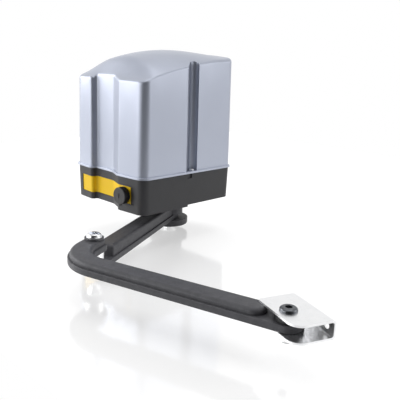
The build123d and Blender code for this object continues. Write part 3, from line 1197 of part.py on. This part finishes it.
def curved_arm():
    """A cast arm with a quarter bend: a flat slab, a small ledge and a raised back."""
    slab = extrude(Pos(0, 0, CURVED_BOTTOM_Z) * band(arm_path(0), ARM_WIDTH / 2), SLAB_T)
    slab = fillet(slab.edges().group_by(Axis.Z)[0], ARM_EDGE_R)
    slab = fillet(slab.edges().group_by(Axis.Z)[-1], ARM_EDGE_R)
    hat_face = band(arm_path(CURVED_HAT_END), ARM_WIDTH / 2 - LEDGE)
    hat = extrude(Pos(0, 0, CURVED_BOTTOM_Z + SLAB_T) * hat_face, CURVED_HAT_T)
    hat = fillet(hat.edges().group_by(Axis.Z)[-1], HAT_SHOULDER_R)
    arm = slab + hat + rod(ELBOW.X, ELBOW.Y, CURVED_TOP_Z, ELBOW_PAD_R - HAT_SHOULDER_R / 2, ELBOW_PAD_T)
    arm -= rod(ELBOW.X, ELBOW.Y, CURVED_BOTTOM_Z, BOLT_R, SLAB_T * 3)
    return arm - rod(PIVOT.X, PIVOT.Y, CURVED_BOTTOM_Z, BUSH_R, SLAB_T)


def joint_bolt(at, seat_z, length):
    """A button-head bolt; its head rests on seat_z."""
    head = rod(at.X, at.Y, seat_z, BOLT_HEAD_R, BOLT_HEAD_H)
    head = fillet(head.edges().sort_by(Axis.Z)[-1], BOLT_HEAD_H * 0.8)
    head -= hex_rod(at.X, at.Y, seat_z + BOLT_HEAD_H - BOLT_SOCKET_DEPTH, BOLT_SOCKET, BOLT_SOCKET_DEPTH)
    return head + rod(at.X, at.Y, seat_z - length, BOLT_R, length)


def lock_nut(at, top_z):
    """A hexagon nut with a round locking collar underneath."""
    nut = hex_rod(at.X, at.Y, top_z - NUT_H + NUT_COLLAR_H, NUT_ACROSS, NUT_H - NUT_COLLAR_H)
    nut += rod(at.X, at.Y, top_z - NUT_H, NUT_ACROSS / 2 - 1, NUT_COLLAR_H)
    return nut - rod(at.X, at.Y, top_z - NUT_H, BOLT_R, NUT_H)


def washer(at, bottom_z):
    return sleeve(at, bottom_z, bottom_z + WASHER_T, WASHER_R, BOLT_R)


ELBOW_SEAT_Z = CURVED_TOP_Z + ELBOW_PAD_T
ELBOW_NUT_Z = SLAB_BOTTOM_Z - JOINT_GAP - WASHER_T
BRACKET_TOP_Z = CURVED_TOP_Z + BRACKET_GAP + BRACKET_T
BRACKET_BOTTOM_Z = CURVED_BOTTOM_Z - BRACKET_GAP - BRACKET_T
PIVOT_NUT_Z = BRACKET_BOTTOM_Z - WASHER_T


def elbow_bolt():
    return joint_bolt(ELBOW, ELBOW_SEAT_Z + WASHER_T, ELBOW_SEAT_Z + WASHER_T - ELBOW_NUT_Z + NUT_H + BOLT_TAIL)


def elbow_washers():
    return [washer(ELBOW, ELBOW_SEAT_Z), washer(ELBOW, ELBOW_NUT_Z)]


def elbow_nut():
    return lock_nut(ELBOW, ELBOW_NUT_Z)


def pivot_bush():
    return sleeve(PIVOT, CURVED_BOTTOM_Z, CURVED_TOP_Z, BUSH_R, BUSH_BORE)


def pivot_spacer():
    """The black ring that fills the bracket above the arm's flat end."""
    ring = sleeve(PIVOT, CURVED_BOTTOM_Z + SLAB_T, CURVED_TOP_Z, ARM_WIDTH / 2 - LEDGE, BUSH_R)
    return fillet(ring.edges().group_by(Axis.Z)[-1].sort_by(SortBy.LENGTH)[-1], ARM_EDGE_R)


def pivot_bolt():
    return joint_bolt(PIVOT, BRACKET_TOP_Z, BRACKET_TOP_Z - PIVOT_NUT_Z + NUT_H + BOLT_TAIL)


def pivot_washer():
    return washer(PIVOT, PIVOT_NUT_Z)


def pivot_nut():
    return lock_nut(PIVOT, PIVOT_NUT_Z)


def gate_bracket():
    """A bent steel channel: two eared plates and the web that is bolted to the gate."""
    half = BRACKET_LENGTH / 2
    z0, z1 = BRACKET_BOTTOM_Z, BRACKET_TOP_Z
    body = block(-half, half, BRACKET_NEAR_Y, BRACKET_WEB_Y, z0, z1)
    body = fillet(body.edges().filter_by(Axis.X).sort_by(Axis.Y)[-2:], BRACKET_BEND_R)
    inner = block(-half, half, BRACKET_NEAR_Y, BRACKET_WEB_Y - BRACKET_T, z0 + BRACKET_T, z1 - BRACKET_T)
    inner = fillet(inner.edges().filter_by(Axis.X).sort_by(Axis.Y)[-2:], BRACKET_BEND_R - BRACKET_T / 2)
    inner_corner, outer_corner = body.edges().filter_by(Axis.Z).sort_by(Axis.Y)[:2].sort_by(Axis.X)
    body = fillet(inner_corner, BRACKET_INNER_CORNER_R)
    body = fillet(body.edges().filter_by(Axis.Z).sort_by(Axis.Y)[:3].sort_by(Axis.X)[-1], BRACKET_OUTER_CORNER_R)
    body -= inner
    body -= rod(0, 0, z0, BOLT_R, z1 - z0)
    for side in (-1, 1):
        body -= rod_y(side * GATE_HOLE_PITCH / 2, BRACKET_WEB_Y, (z0 + z1) / 2, GATE_HOLE_R, BRACKET_T)
    seat = Plane(origin=(PIVOT.X, PIVOT.Y, 0), x_dir=polar(BRACKET_REST, 1), z_dir=(0, 0, 1))
    return seat * body


PIECES = {
    "cover": cover,
    "cover_gasket": cover_gasket,
    "cover_screws": cover_screws,
    "base_housing": base_housing,
    "label_strip": label_strip,
    "release_bezel": release_bezel,
    "release_knob": release_knob,
    "release_spindle": release_spindle,
    "release_rack": release_rack,
    "clutch_collar": clutch_collar,
    "wall_plate": wall_plate,
    "plate_screws": plate_screws,
    "gearbox_lid": gearbox_lid,
    "lid_screws": lid_screws,
    "output_shaft": output_shaft,
    "output_gear": output_gear,
    "gear_key": gear_key,
    "lower_bearing": lambda: bearing_at(LOWER_BEARING, 0, OUTPUT_Y, FLOOR_Z - LOWER_BEARING[2]),
    "upper_bearing": lambda: bearing_at(UPPER_BEARING, 0, OUTPUT_Y, LID_TOP_Z - UPPER_BEARING[2]),
    "shaft_seal": shaft_seal,
    "idler_shaft": idler_shaft,
    "idler_bearings": idler_bearings,
    "worm_wheel": worm_wheel,
    "gear_bridge": gear_bridge,
    "bridge_screws": bridge_screws,
    "motor_shaft": motor_shaft,
    "worm_bearings": worm_bearings,
    "motor_can": motor_can,
    "motor_screws": motor_screws,
    "motor_end_cap": motor_end_cap,
    "motor_magnets": motor_magnets,
    "motor_rotor": motor_rotor,
    "encoder_disc": encoder_disc,
    "tray_posts": tray_posts,
    "board_tray": board_tray,
    "tray_screws": tray_screws,
    "board_standoffs": board_standoffs,
    "control_board": control_board,
    "terminal_blocks": terminal_blocks,
    "relays": relays,
    "transformer": transformer,
    "transformer_clamp": transformer_clamp,
    "capacitor": capacitor,
    "capacitor_clip": capacitor_clip,
    "cable_grommet": cable_grommet,
    "straight_arm": straight_arm,
    "shaft_washer": shaft_washer,
    "shaft_bolt": shaft_bolt,
    "elbow_bush": elbow_bush,
    "elbow_spacer": elbow_spacer,
    "curved_arm": curved_arm,
    "elbow_bolt": elbow_bolt,
    "elbow_washers": elbow_washers,
    "elbow_nut": elbow_nut,
    "pivot_bush": pivot_bush,
    "pivot_spacer": pivot_spacer,
    "gate_bracket": gate_bracket,
    "pivot_bolt": pivot_bolt,
    "pivot_washer": pivot_washer,
    "pivot_nut": pivot_nut,
}

for piece_name, make in PIECES.items():
    save(piece_name, make())
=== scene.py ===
import json
import math

import bmesh
import bpy
from mathutils import Matrix, Vector
from mathutils.bvhtree import BVHTree


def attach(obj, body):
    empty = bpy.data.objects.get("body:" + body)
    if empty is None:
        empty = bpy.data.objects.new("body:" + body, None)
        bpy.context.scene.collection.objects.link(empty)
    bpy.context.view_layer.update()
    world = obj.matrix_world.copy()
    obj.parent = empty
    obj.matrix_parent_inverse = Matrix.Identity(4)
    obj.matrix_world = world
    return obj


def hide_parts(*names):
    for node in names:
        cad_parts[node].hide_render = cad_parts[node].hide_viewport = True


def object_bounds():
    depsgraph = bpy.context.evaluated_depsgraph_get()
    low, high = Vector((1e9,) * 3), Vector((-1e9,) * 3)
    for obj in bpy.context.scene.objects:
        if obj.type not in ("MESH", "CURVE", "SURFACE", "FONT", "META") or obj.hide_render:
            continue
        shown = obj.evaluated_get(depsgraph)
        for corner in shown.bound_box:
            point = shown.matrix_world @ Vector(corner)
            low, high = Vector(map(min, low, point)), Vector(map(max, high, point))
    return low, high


# Swing-gate opener with an articulated arm. Metres, +Z up, -Y the front.
MM = 0.001

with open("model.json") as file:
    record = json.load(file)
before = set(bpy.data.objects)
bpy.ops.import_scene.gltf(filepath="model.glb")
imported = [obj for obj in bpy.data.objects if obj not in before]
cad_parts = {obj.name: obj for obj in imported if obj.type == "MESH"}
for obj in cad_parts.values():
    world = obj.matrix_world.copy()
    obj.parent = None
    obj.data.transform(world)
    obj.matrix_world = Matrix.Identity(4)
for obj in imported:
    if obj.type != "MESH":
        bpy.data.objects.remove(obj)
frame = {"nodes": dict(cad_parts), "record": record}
nodes = frame["nodes"]
cad_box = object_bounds()

SRGB_KNEE = 0.04045
SRGB_SLOPE = 12.92
SRGB_OFFSET = 0.055
SRGB_POWER = 2.4
# The Mix node's colour sockets, which share their names with its other kinds.
MIX_COLOUR_A = 6
MIX_COLOUR_B = 7
MIX_COLOUR_OUT = 2
NOISE_SPAN = (0.3, 0.7)
GRAIN_ROUGHNESS = 0.55


def linear(code):
    """An sRGB hex colour as linear RGBA."""
    channels = [int(code[i : i + 2], 16) / 255 for i in (1, 3, 5)]
    toned = [
        c / SRGB_SLOPE if c <= SRGB_KNEE else ((c + SRGB_OFFSET) / (1 + SRGB_OFFSET)) ** SRGB_POWER
        for c in channels
    ]
    return (*toned, 1.0)


def add(tree, kind, sockets=None, **settings):
    """Adds a node with its settings; sockets gives each input a value or another node's output."""
    made = tree.nodes.new(kind)
    for name, value in settings.items():
        setattr(made, name, value)
    for name, value in (sockets or {}).items():
        if isinstance(value, bpy.types.NodeSocket):
            tree.links.new(value, made.inputs[name])
        else:
            made.inputs[name].default_value = value
    return made


def per_metre(size_mm):
    """Texture scale whose features are this many millimetres wide."""
    return 1.0 / (size_mm * MM)


def new_material(name):
    """An empty material, its node tree and its object coordinates."""
    made = bpy.data.materials.new(name)
    made.use_nodes = True
    tree = made.node_tree
    tree.nodes.clear()
    place = add(tree, "ShaderNodeTexCoord").outputs["Object"]
    return made, tree, place


def close(tree, shader):
    """Leads a shader to the material's output."""
    add(tree, "ShaderNodeOutputMaterial", {"Surface": shader.outputs[0]})


def grain(tree, place, size_mm, detail=3.0):
    """Noise with features of this size, from 0 to 1."""
    sockets = {"Vector": place, "Scale": per_metre(size_mm), "Detail": detail,
               "Roughness": GRAIN_ROUGHNESS}
    return add(tree, "ShaderNodeTexNoise", sockets).outputs["Fac"]


def map_range(tree, value, before, after):
    """A value carried from one span to another, held at the ends."""
    sockets = {"Value": value, "From Min": before[0], "From Max": before[1],
               "To Min": after[0], "To Max": after[1]}
    return add(tree, "ShaderNodeMapRange", sockets).outputs["Result"]


def spread(tree, value, low, high):
    """A 0 to 1 value stretched between two levels."""
    return map_range(tree, value, NOISE_SPAN, (low, high))


def tint(tree, value, dark, light):
    """A colour between two hex colours."""
    mix = add(tree, "ShaderNodeMix", {"Factor": value}, data_type="RGBA")
    mix.inputs[MIX_COLOUR_A].default_value = linear(dark)
    mix.inputs[MIX_COLOUR_B].default_value = linear(light)
    return mix.outputs[MIX_COLOUR_OUT]


def raised_by(tree, height, depth_mm, strength=1.0):
    """A bump whose full height is this many millimetres."""
    return add(tree, "ShaderNodeBump", {"Height": height, "Distance": depth_mm * MM,
                                        "Strength": strength}).outputs["Normal"]


def satin_silver_powder_coat():
    """Metallic polyester powder coat on the cast cover: satin, with a faint orange peel."""
    made, tree, place = new_material("satin_silver_powder_coat")
    peel = grain(tree, place, 1.6)
    flake = grain(tree, place, 0.35, 1.0)
    cloud = grain(tree, place, 60.0)
    shader = add(tree, "ShaderNodeBsdfPrincipled", {
        "Base Color": tint(tree, spread(tree, cloud, 0.35, 0.65), "#B3B9C9", "#BEC4D3"),
        "Metallic": 0.5,
        "Roughness": spread(tree, flake, 0.38, 0.46),
        "Normal": raised_by(tree, peel, 0.010),
        "Coat Weight": 0.35,
        "Coat Roughness": 0.22,
    })
    close(tree, shader)
    return made


def charcoal_moulded_polyamide():
    """Glass-filled polyamide of the base: matt charcoal with fine spark erosion texture."""
    made, tree, place = new_material("charcoal_moulded_polyamide")
    spark = grain(tree, place, 0.9, 2.0)
    cloud = grain(tree, place, 35.0)
    shader = add(tree, "ShaderNodeBsdfPrincipled", {
        "Base Color": tint(tree, spread(tree, cloud, 0.3, 0.7), "#2E2E31", "#38383B"),
        "Roughness": spread(tree, spark, 0.50, 0.62),
        "Normal": raised_by(tree, spark, 0.02),
        "IOR": 1.53,
    })
    close(tree, shader)
    return made


def textured_charcoal_powder_coat():
    """Fine-textured powder coat on the cast arms: tiny raised grains that catch the light."""
    made, tree, place = new_material("textured_charcoal_powder_coat")
    grains = grain(tree, place, 1.1, 4.0)
    mottle = grain(tree, place, 9.0)
    shader = add(tree, "ShaderNodeBsdfPrincipled", {
        "Base Color": tint(tree, spread(tree, mottle, 0.2, 0.8), "#434347", "#59595D"),
        "Metallic": 0.2,
        "Roughness": spread(tree, grains, 0.46, 0.60),
        "Normal": raised_by(tree, grains, 0.06),
    })
    close(tree, shader)
    return made


def yellow_printed_polyester():
    """The signal-yellow strip: a smooth satin film with a slight print mottle."""
    made, tree, place = new_material("yellow_printed_polyester")
    mottle = grain(tree, place, 14.0)
    fine = grain(tree, place, 0.8)
    shader = add(tree, "ShaderNodeBsdfPrincipled", {
        "Base Color": tint(tree, spread(tree, mottle, 0.3, 0.7), "#FBCB00", "#FFD500"),
        "Roughness": spread(tree, fine, 0.46, 0.54),
        "Normal": raised_by(tree, fine, 0.008),
    })
    close(tree, shader)
    return made


def black_moulded_abs():
    """Black ABS of the knob and its ring: satin, lightly grained."""
    made, tree, place = new_material("black_moulded_abs")
    fine = grain(tree, place, 0.7)
    cloud = grain(tree, place, 12.0)
    shader = add(tree, "ShaderNodeBsdfPrincipled", {
        "Base Color": tint(tree, spread(tree, cloud, 0.3, 0.7), "#141416", "#1D1D20"),
        "Roughness": spread(tree, fine, 0.36, 0.46),
        "Normal": raised_by(tree, fine, 0.015),
    })
    close(tree, shader)
    return made


def black_nitrile_rubber():
    """Nitrile rubber of the gasket, seal and grommet: matt, with a soft bloom."""
    made, tree, place = new_material("black_nitrile_rubber")
    fine = grain(tree, place, 0.6)
    bloom = grain(tree, place, 8.0)
    shader = add(tree, "ShaderNodeBsdfPrincipled", {
        "Base Color": tint(tree, spread(tree, bloom, 0.3, 0.7), "#161617", "#202021"),
        "Roughness": spread(tree, fine, 0.70, 0.82),
        "Normal": raised_by(tree, fine, 0.02),
    })
    close(tree, shader)
    return made


METAL_ROUGH_SPAN = (-0.05, 0.07)
MOULDED_ROUGH_SPAN = (-0.04, 0.06)


def metal(name, dark, light, rough, streak_mm=(6.0, 0.15, 0.15), patch_mm=12.0, depth_mm=0.004):
    """A bare or plated metal with fine tool or draw lines and soft patches."""
    made, tree, place = new_material(name)
    stretch = tuple(per_metre(size) for size in streak_mm)
    stretched = add(tree, "ShaderNodeMapping", {"Vector": place, "Scale": stretch})
    noise = {"Vector": stretched.outputs["Vector"], "Scale": 1.0, "Detail": 2.0}
    lines = add(tree, "ShaderNodeTexNoise", noise).outputs["Fac"]
    patch = grain(tree, place, patch_mm)
    shader = add(tree, "ShaderNodeBsdfPrincipled", {
        "Base Color": tint(tree, spread(tree, patch, 0.2, 0.8), dark, light),
        "Metallic": 1.0,
        "Roughness": spread(tree, lines, *(rough + more for more in METAL_ROUGH_SPAN)),
        "Normal": raised_by(tree, lines, depth_mm),
    })
    close(tree, shader)
    return made


def moulded(name, dark, light, rough, grain_mm=0.6, depth_mm=0.012):
    """A moulded plastic with a fine grain."""
    made, tree, place = new_material(name)
    fine = grain(tree, place, grain_mm)
    cloud = grain(tree, place, 10.0)
    shader = add(tree, "ShaderNodeBsdfPrincipled", {
        "Base Color": tint(tree, spread(tree, cloud, 0.3, 0.7), dark, light),
        "Roughness": spread(tree, fine, *(rough + more for more in MOULDED_ROUGH_SPAN)),
        "Normal": raised_by(tree, fine, depth_mm),
    })
    close(tree, shader)
    return made


FINISHES = {
    "cover_paint": satin_silver_powder_coat(),
    "base_plastic": charcoal_moulded_polyamide(),
    "arm_paint": textured_charcoal_powder_coat(),
    "yellow_strip": yellow_printed_polyester(),
    "black_plastic": black_moulded_abs(),
    "black_rubber": black_nitrile_rubber(),
    "zinc": metal("bright_zinc_plate", "#F0F1F2", "#FAFAFB", 0.30),
    "steel": metal("turned_steel", "#8C8C8E", "#A3A3A5", 0.28, (0.2, 0.2, 3.0), 9.0),
    "bright_steel": metal(
        "polished_chrome_steel", "#D6D7D9", "#E6E7E8", 0.10, (2.0, 0.4, 0.4), 6.0, 0.001),
    "dark_steel": metal(
        "dark_zinc_plate", "#55575B", "#6C6E72", 0.26, (2.0, 0.4, 0.4), 6.0, 0.002),
    "bearing_steel": metal(
        "ground_bearing_steel", "#B4B4B6", "#C6C6C8", 0.18, (3.0, 0.1, 0.1), 6.0, 0.002),
    "bronze": metal("machined_bronze", "#A77F45", "#C2985A", 0.30, (0.15, 0.15, 2.0), 6.0),
    "grey_casting": metal(
        "cast_aluminium", "#8F9194", "#A6A8AB", 0.48, (0.8, 0.8, 0.8), 5.0, 0.03),
    "motor_paint": moulded("black_stoved_enamel", "#151516", "#1E1E20", 0.32),
    "magnet": moulded("ground_ferrite", "#2C2C2E", "#38383A", 0.55, 0.4, 0.02),
    "board_green": moulded("green_solder_mask", "#14532A", "#1B6636", 0.28, 1.2, 0.01),
    "terminal_green": moulded("green_polyamide", "#2E8A4B", "#389A57", 0.40),
    "relay_black": moulded("black_moulded_pbt", "#141415", "#1C1C1E", 0.42),
    "white_nylon": moulded("natural_nylon", "#DEDDD6", "#E9E8E2", 0.38),
    "winding": moulded("yellow_polyester_tape", "#C99A1E", "#D8AC30", 0.30, 3.0, 0.05),
}

# The cover's roof in millimetres. The edge and the crown are powers of the share of the depth.
COVER_HALF = 97.0
COVER_FRONT_Y = -223.0
COVER_DEPTH = 221.0
ROOF_EDGE = (193.3, 69.8, -36.05, 5.3)
ROOF_CROWN = (27.2, 8.85, -29.8, -2.7)
CROWN_AT_FRONT = 3.0
CROWN_RAMP = 0.16
WALL_FOOT_Z = 60.0
FIRST_SOUNDING = 0.05
SOUNDING_STEP = 0.04
SOUNDING_COUNT = 24
SOUNDINGS = [FIRST_SOUNDING + SOUNDING_STEP * step for step in range(SOUNDING_COUNT)]
SOUNDING_X = 60.0
SOUND_FROM_Z = 400.0
WELD_MM = 0.002
SHARP_DEG = 32.0


def curve(terms, share):
    """The sum of the terms, each times a rising power of the share."""
    return sum(term * share ** power for power, term in enumerate(terms))


def roof_height(x, share):
    """Height of the domed roof at a place across and a share of the depth from the front."""
    ramp = min(share / CROWN_RAMP, 1.0)
    grown = ramp * ramp * (3.0 - 2.0 * ramp)
    crown = CROWN_AT_FRONT + (curve(ROOF_CROWN, share) - CROWN_AT_FRONT) * grown
    return curve(ROOF_EDGE, share) + crown * (1.0 - (x / COVER_HALF) ** 2)


def sound_roof(mesh):
    """The middle height and the fall per square millimetre of the solid's roof at each sounding."""
    corners = [vertex.co for vertex in mesh.vertices]
    tree = BVHTree.FromPolygons(corners, [face.vertices for face in mesh.polygons])
    down = Vector((0, 0, -1))
    rows = []
    for share in SOUNDINGS:
        y = COVER_FRONT_Y + share * COVER_DEPTH
        heights = []
        for x in (0.0, SOUNDING_X):
            hit = tree.ray_cast(Vector((x, y, SOUND_FROM_Z)) * MM, down)[0]
            heights.append(hit.z / MM)
        rows.append((heights[0], (heights[1] - heights[0]) / SOUNDING_X ** 2))
    return rows


def solid_roof(rows, x, share):
    """Height of the solid's roof, read between the soundings and carried on past their ends."""
    place = (share - FIRST_SOUNDING) / SOUNDING_STEP
    low = min(max(int(math.floor(place)), 0), len(rows) - 2)
    part = min(place - low, 1.0)
    ends = zip(rows[low], rows[low + 1])
    middle, fall = (before * (1.0 - part) + after * part for before, after in ends)
    return middle + fall * x * x


def domed_cover():
    """The cover with its roof domed right to the back edge, as in the photo.

    The solid's roof sags between its last two sections. Each point of the shell's upper part
    rises or sinks by what the roof above it is off, and the walls below stretch with it.
    """
    mesh = nodes["cover"].data.copy()
    mesh.name = "cover_shell"
    rows = sound_roof(mesh)
    for vertex in mesh.vertices:
        x, y, z = vertex.co / MM
        share = min(max((y - COVER_FRONT_Y) / COVER_DEPTH, 0.0), 1.0)
        was = solid_roof(rows, x, share)
        part = min(max((z - WALL_FOOT_Z) / (was - WALL_FOOT_Z), 0.0), 1.0)
        vertex.co.z += part * (roof_height(x, share) - was) * MM
    custom = mesh.attributes.get("custom_normal")
    if custom:
        mesh.attributes.remove(custom)
    build = bmesh.new()
    build.from_mesh(mesh)
    bmesh.ops.remove_doubles(build, verts=build.verts, dist=WELD_MM * MM)
    for face in build.faces:
        face.smooth = True
    build.to_mesh(mesh)
    build.free()
    mesh.set_sharp_from_angle(angle=math.radians(SHARP_DEG))
    shell = bpy.data.objects.new("cover_shell", mesh)
    bpy.context.scene.collection.objects.link(shell)
    mesh.materials.clear()
    mesh.materials.append(FINISHES["cover_paint"])
    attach(shell, "housing")
    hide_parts("cover")


slots = {row["node"]: row["material_slot"] for row in frame["record"]["subparts"]}
for name, piece in nodes.items():
    piece.data.materials.clear()
    piece.data.materials.append(FINISHES[slots[name]])
domed_cover()

CAMERA_AT = Vector((0.82264, -0.83688, 0.24427))
CAMERA_YAW = 0.76947
CAMERA_PITCH = 0.25075
CAMERA_ROLL = 0.036917
PHOTO_PX = 400
FOCAL_PX = 580
SENSOR_MM = 36.0
CLIP_START = 0.01

LIT_POINT = (0.15, -0.2, 0.05)
LAMPS = (
    ("key_left", (-1.9, -1.4, 0.8), 1.6, 1.3, 26),
    ("low_front", (-0.5, -2.2, 0.35), 1.8, 0.7, 12),
    ("fill_right", (1.9, 1.2, 0.9), 1.2, 1.4, 9),
    ("top", (0.1, 0.1, 2.4), 1.8, 1.8, 13),
)

WORLD_LEVEL = 0.55
FLAG_WAY = (0.69, -0.69, -0.22)
FLAG_SPAN = (0.34, 0.66)
FLAG_LEVEL = 0.02
OVERHEAD_SPAN = (0.25, 0.9)
OVERHEAD_SHARE = 0.75

FLOOR_EDGES = (-1.1, 0.78, -0.56, 1.1)
FLOOR_DARK = "#E4E4E4"
FLOOR_LIGHT = "#E8E8E8"
FLOOR_MOTTLE_MM = 400.0
FLOOR_ROUGHNESS = 0.11
FLOOR_IOR = 2.2
FLOOR_GLOW = 0.42


def set_camera():
    """The camera that took the photo, fitted to the housing's edges."""
    ahead = Vector((
        -math.sin(CAMERA_YAW) * math.cos(CAMERA_PITCH),
        math.cos(CAMERA_YAW) * math.cos(CAMERA_PITCH),
        -math.sin(CAMERA_PITCH),
    ))
    level = Vector((math.cos(CAMERA_YAW), math.sin(CAMERA_YAW), 0))
    above = level.cross(ahead)
    right = level * math.cos(CAMERA_ROLL) + above * math.sin(CAMERA_ROLL)
    up = above * math.cos(CAMERA_ROLL) - level * math.sin(CAMERA_ROLL)
    lens = bpy.data.cameras.new("camera")
    lens.sensor_width = SENSOR_MM
    lens.lens = FOCAL_PX / PHOTO_PX * SENSOR_MM
    lens.clip_start = CLIP_START
    camera = bpy.data.objects.new("camera", lens)
    bpy.context.scene.collection.objects.link(camera)
    turn = Matrix((right, up, -ahead)).transposed()
    camera.matrix_world = Matrix.Translation(CAMERA_AT) @ turn.to_4x4()
    bpy.context.scene.camera = camera


def softbox(name, at, width, height, power):
    """A rectangular area lamp aimed at the part."""
    light = bpy.data.lights.new(name, "AREA")
    light.shape = "RECTANGLE"
    light.size = width
    light.size_y = height
    light.energy = power
    lamp = bpy.data.objects.new(name, light)
    bpy.context.scene.collection.objects.link(lamp)
    lamp.location = at
    lamp.rotation_euler = (Vector(LIT_POINT) - Vector(at)).to_track_quat("-Z", "Y").to_euler()


def set_world():
    """Pale studio light, dimmer overhead, with one dark flag low in front for a dark edge on metal.

    The camera and glass see plain white. Mirrors see white too, apart from the flag.
    """
    world = bpy.data.worlds.new("studio")
    world.use_nodes = True
    bpy.context.scene.world = world
    tree = world.node_tree
    tree.nodes.clear()
    way = add(tree, "ShaderNodeTexCoord").outputs["Generated"]
    toward = add(tree, "ShaderNodeVectorMath", {0: way, 1: FLAG_WAY}, operation="DOT_PRODUCT")
    flag = map_range(tree, toward.outputs["Value"], FLAG_SPAN, (1.0, FLAG_LEVEL))
    height = add(tree, "ShaderNodeSeparateXYZ", {"Vector": way}).outputs["Z"]
    overhead = map_range(tree, height, OVERHEAD_SPAN, (1.0, OVERHEAD_SHARE))
    flag = add(tree, "ShaderNodeMath", {0: flag, 1: overhead}, operation="MULTIPLY").outputs[0]
    path = add(tree, "ShaderNodeLightPath")
    looks = {0: path.outputs["Is Camera Ray"], 1: path.outputs["Is Transmission Ray"]}
    seen = add(tree, "ShaderNodeMath", looks, operation="MAXIMUM").outputs[0]
    shares = {0: path.outputs["Is Glossy Ray"], 1: 1.0 - WORLD_LEVEL, 2: WORLD_LEVEL}
    mirror = add(tree, "ShaderNodeMath", shares, operation="MULTIPLY_ADD").outputs[0]
    strength = add(tree, "ShaderNodeMath", {0: flag, 1: mirror}, operation="MULTIPLY").outputs[0]
    ambient = add(tree, "ShaderNodeBackground", {"Color": (1, 1, 1, 1), "Strength": strength})
    plain = add(tree, "ShaderNodeBackground", {"Color": (1, 1, 1, 1), "Strength": 1.0})
    mix = add(tree, "ShaderNodeMixShader", {0: seen, 1: ambient.outputs[0], 2: plain.outputs[0]})
    add(tree, "ShaderNodeOutputWorld", {"Surface": mix.outputs[0]})


def set_floor(z):
    """A glossy white table that stays white for the camera and keeps shadow and mirror image."""
    mesh = bpy.data.meshes.new("floor")
    left, right, front, back = FLOOR_EDGES
    corners = [(left, front, z), (right, front, z), (right, back, z), (left, back, z)]
    mesh.from_pydata(corners, [], [(0, 1, 2, 3)])
    floor = bpy.data.objects.new("floor", mesh)
    bpy.context.scene.collection.objects.link(floor)
    made, tree, place = new_material("white_acrylic_table")
    mottle = grain(tree, place, FLOOR_MOTTLE_MM)
    shader = add(tree, "ShaderNodeBsdfPrincipled", {
        "Base Color": tint(tree, mottle, FLOOR_DARK, FLOOR_LIGHT),
        "Roughness": FLOOR_ROUGHNESS,
        "IOR": FLOOR_IOR,
    })
    path = add(tree, "ShaderNodeLightPath")
    looks = {0: path.outputs["Is Camera Ray"], 1: path.outputs["Is Glossy Ray"]}
    seen = add(tree, "ShaderNodeMath", looks, operation="MAXIMUM").outputs[0]
    glow = add(tree, "ShaderNodeMath", {0: seen, 1: FLOOR_GLOW}, operation="MULTIPLY").outputs[0]
    white = add(tree, "ShaderNodeEmission", {"Color": (1, 1, 1, 1), "Strength": glow})
    both = add(tree, "ShaderNodeAddShader", {0: shader.outputs[0], 1: white.outputs[0]})
    close(tree, both)
    mesh.materials.append(made)


set_camera()
set_world()
for lamp in LAMPS:
    softbox(*lamp)
lowest_z = cad_box[0][2]
set_floor(lowest_z)

scene = bpy.context.scene
scene.view_settings.view_transform = "Standard"
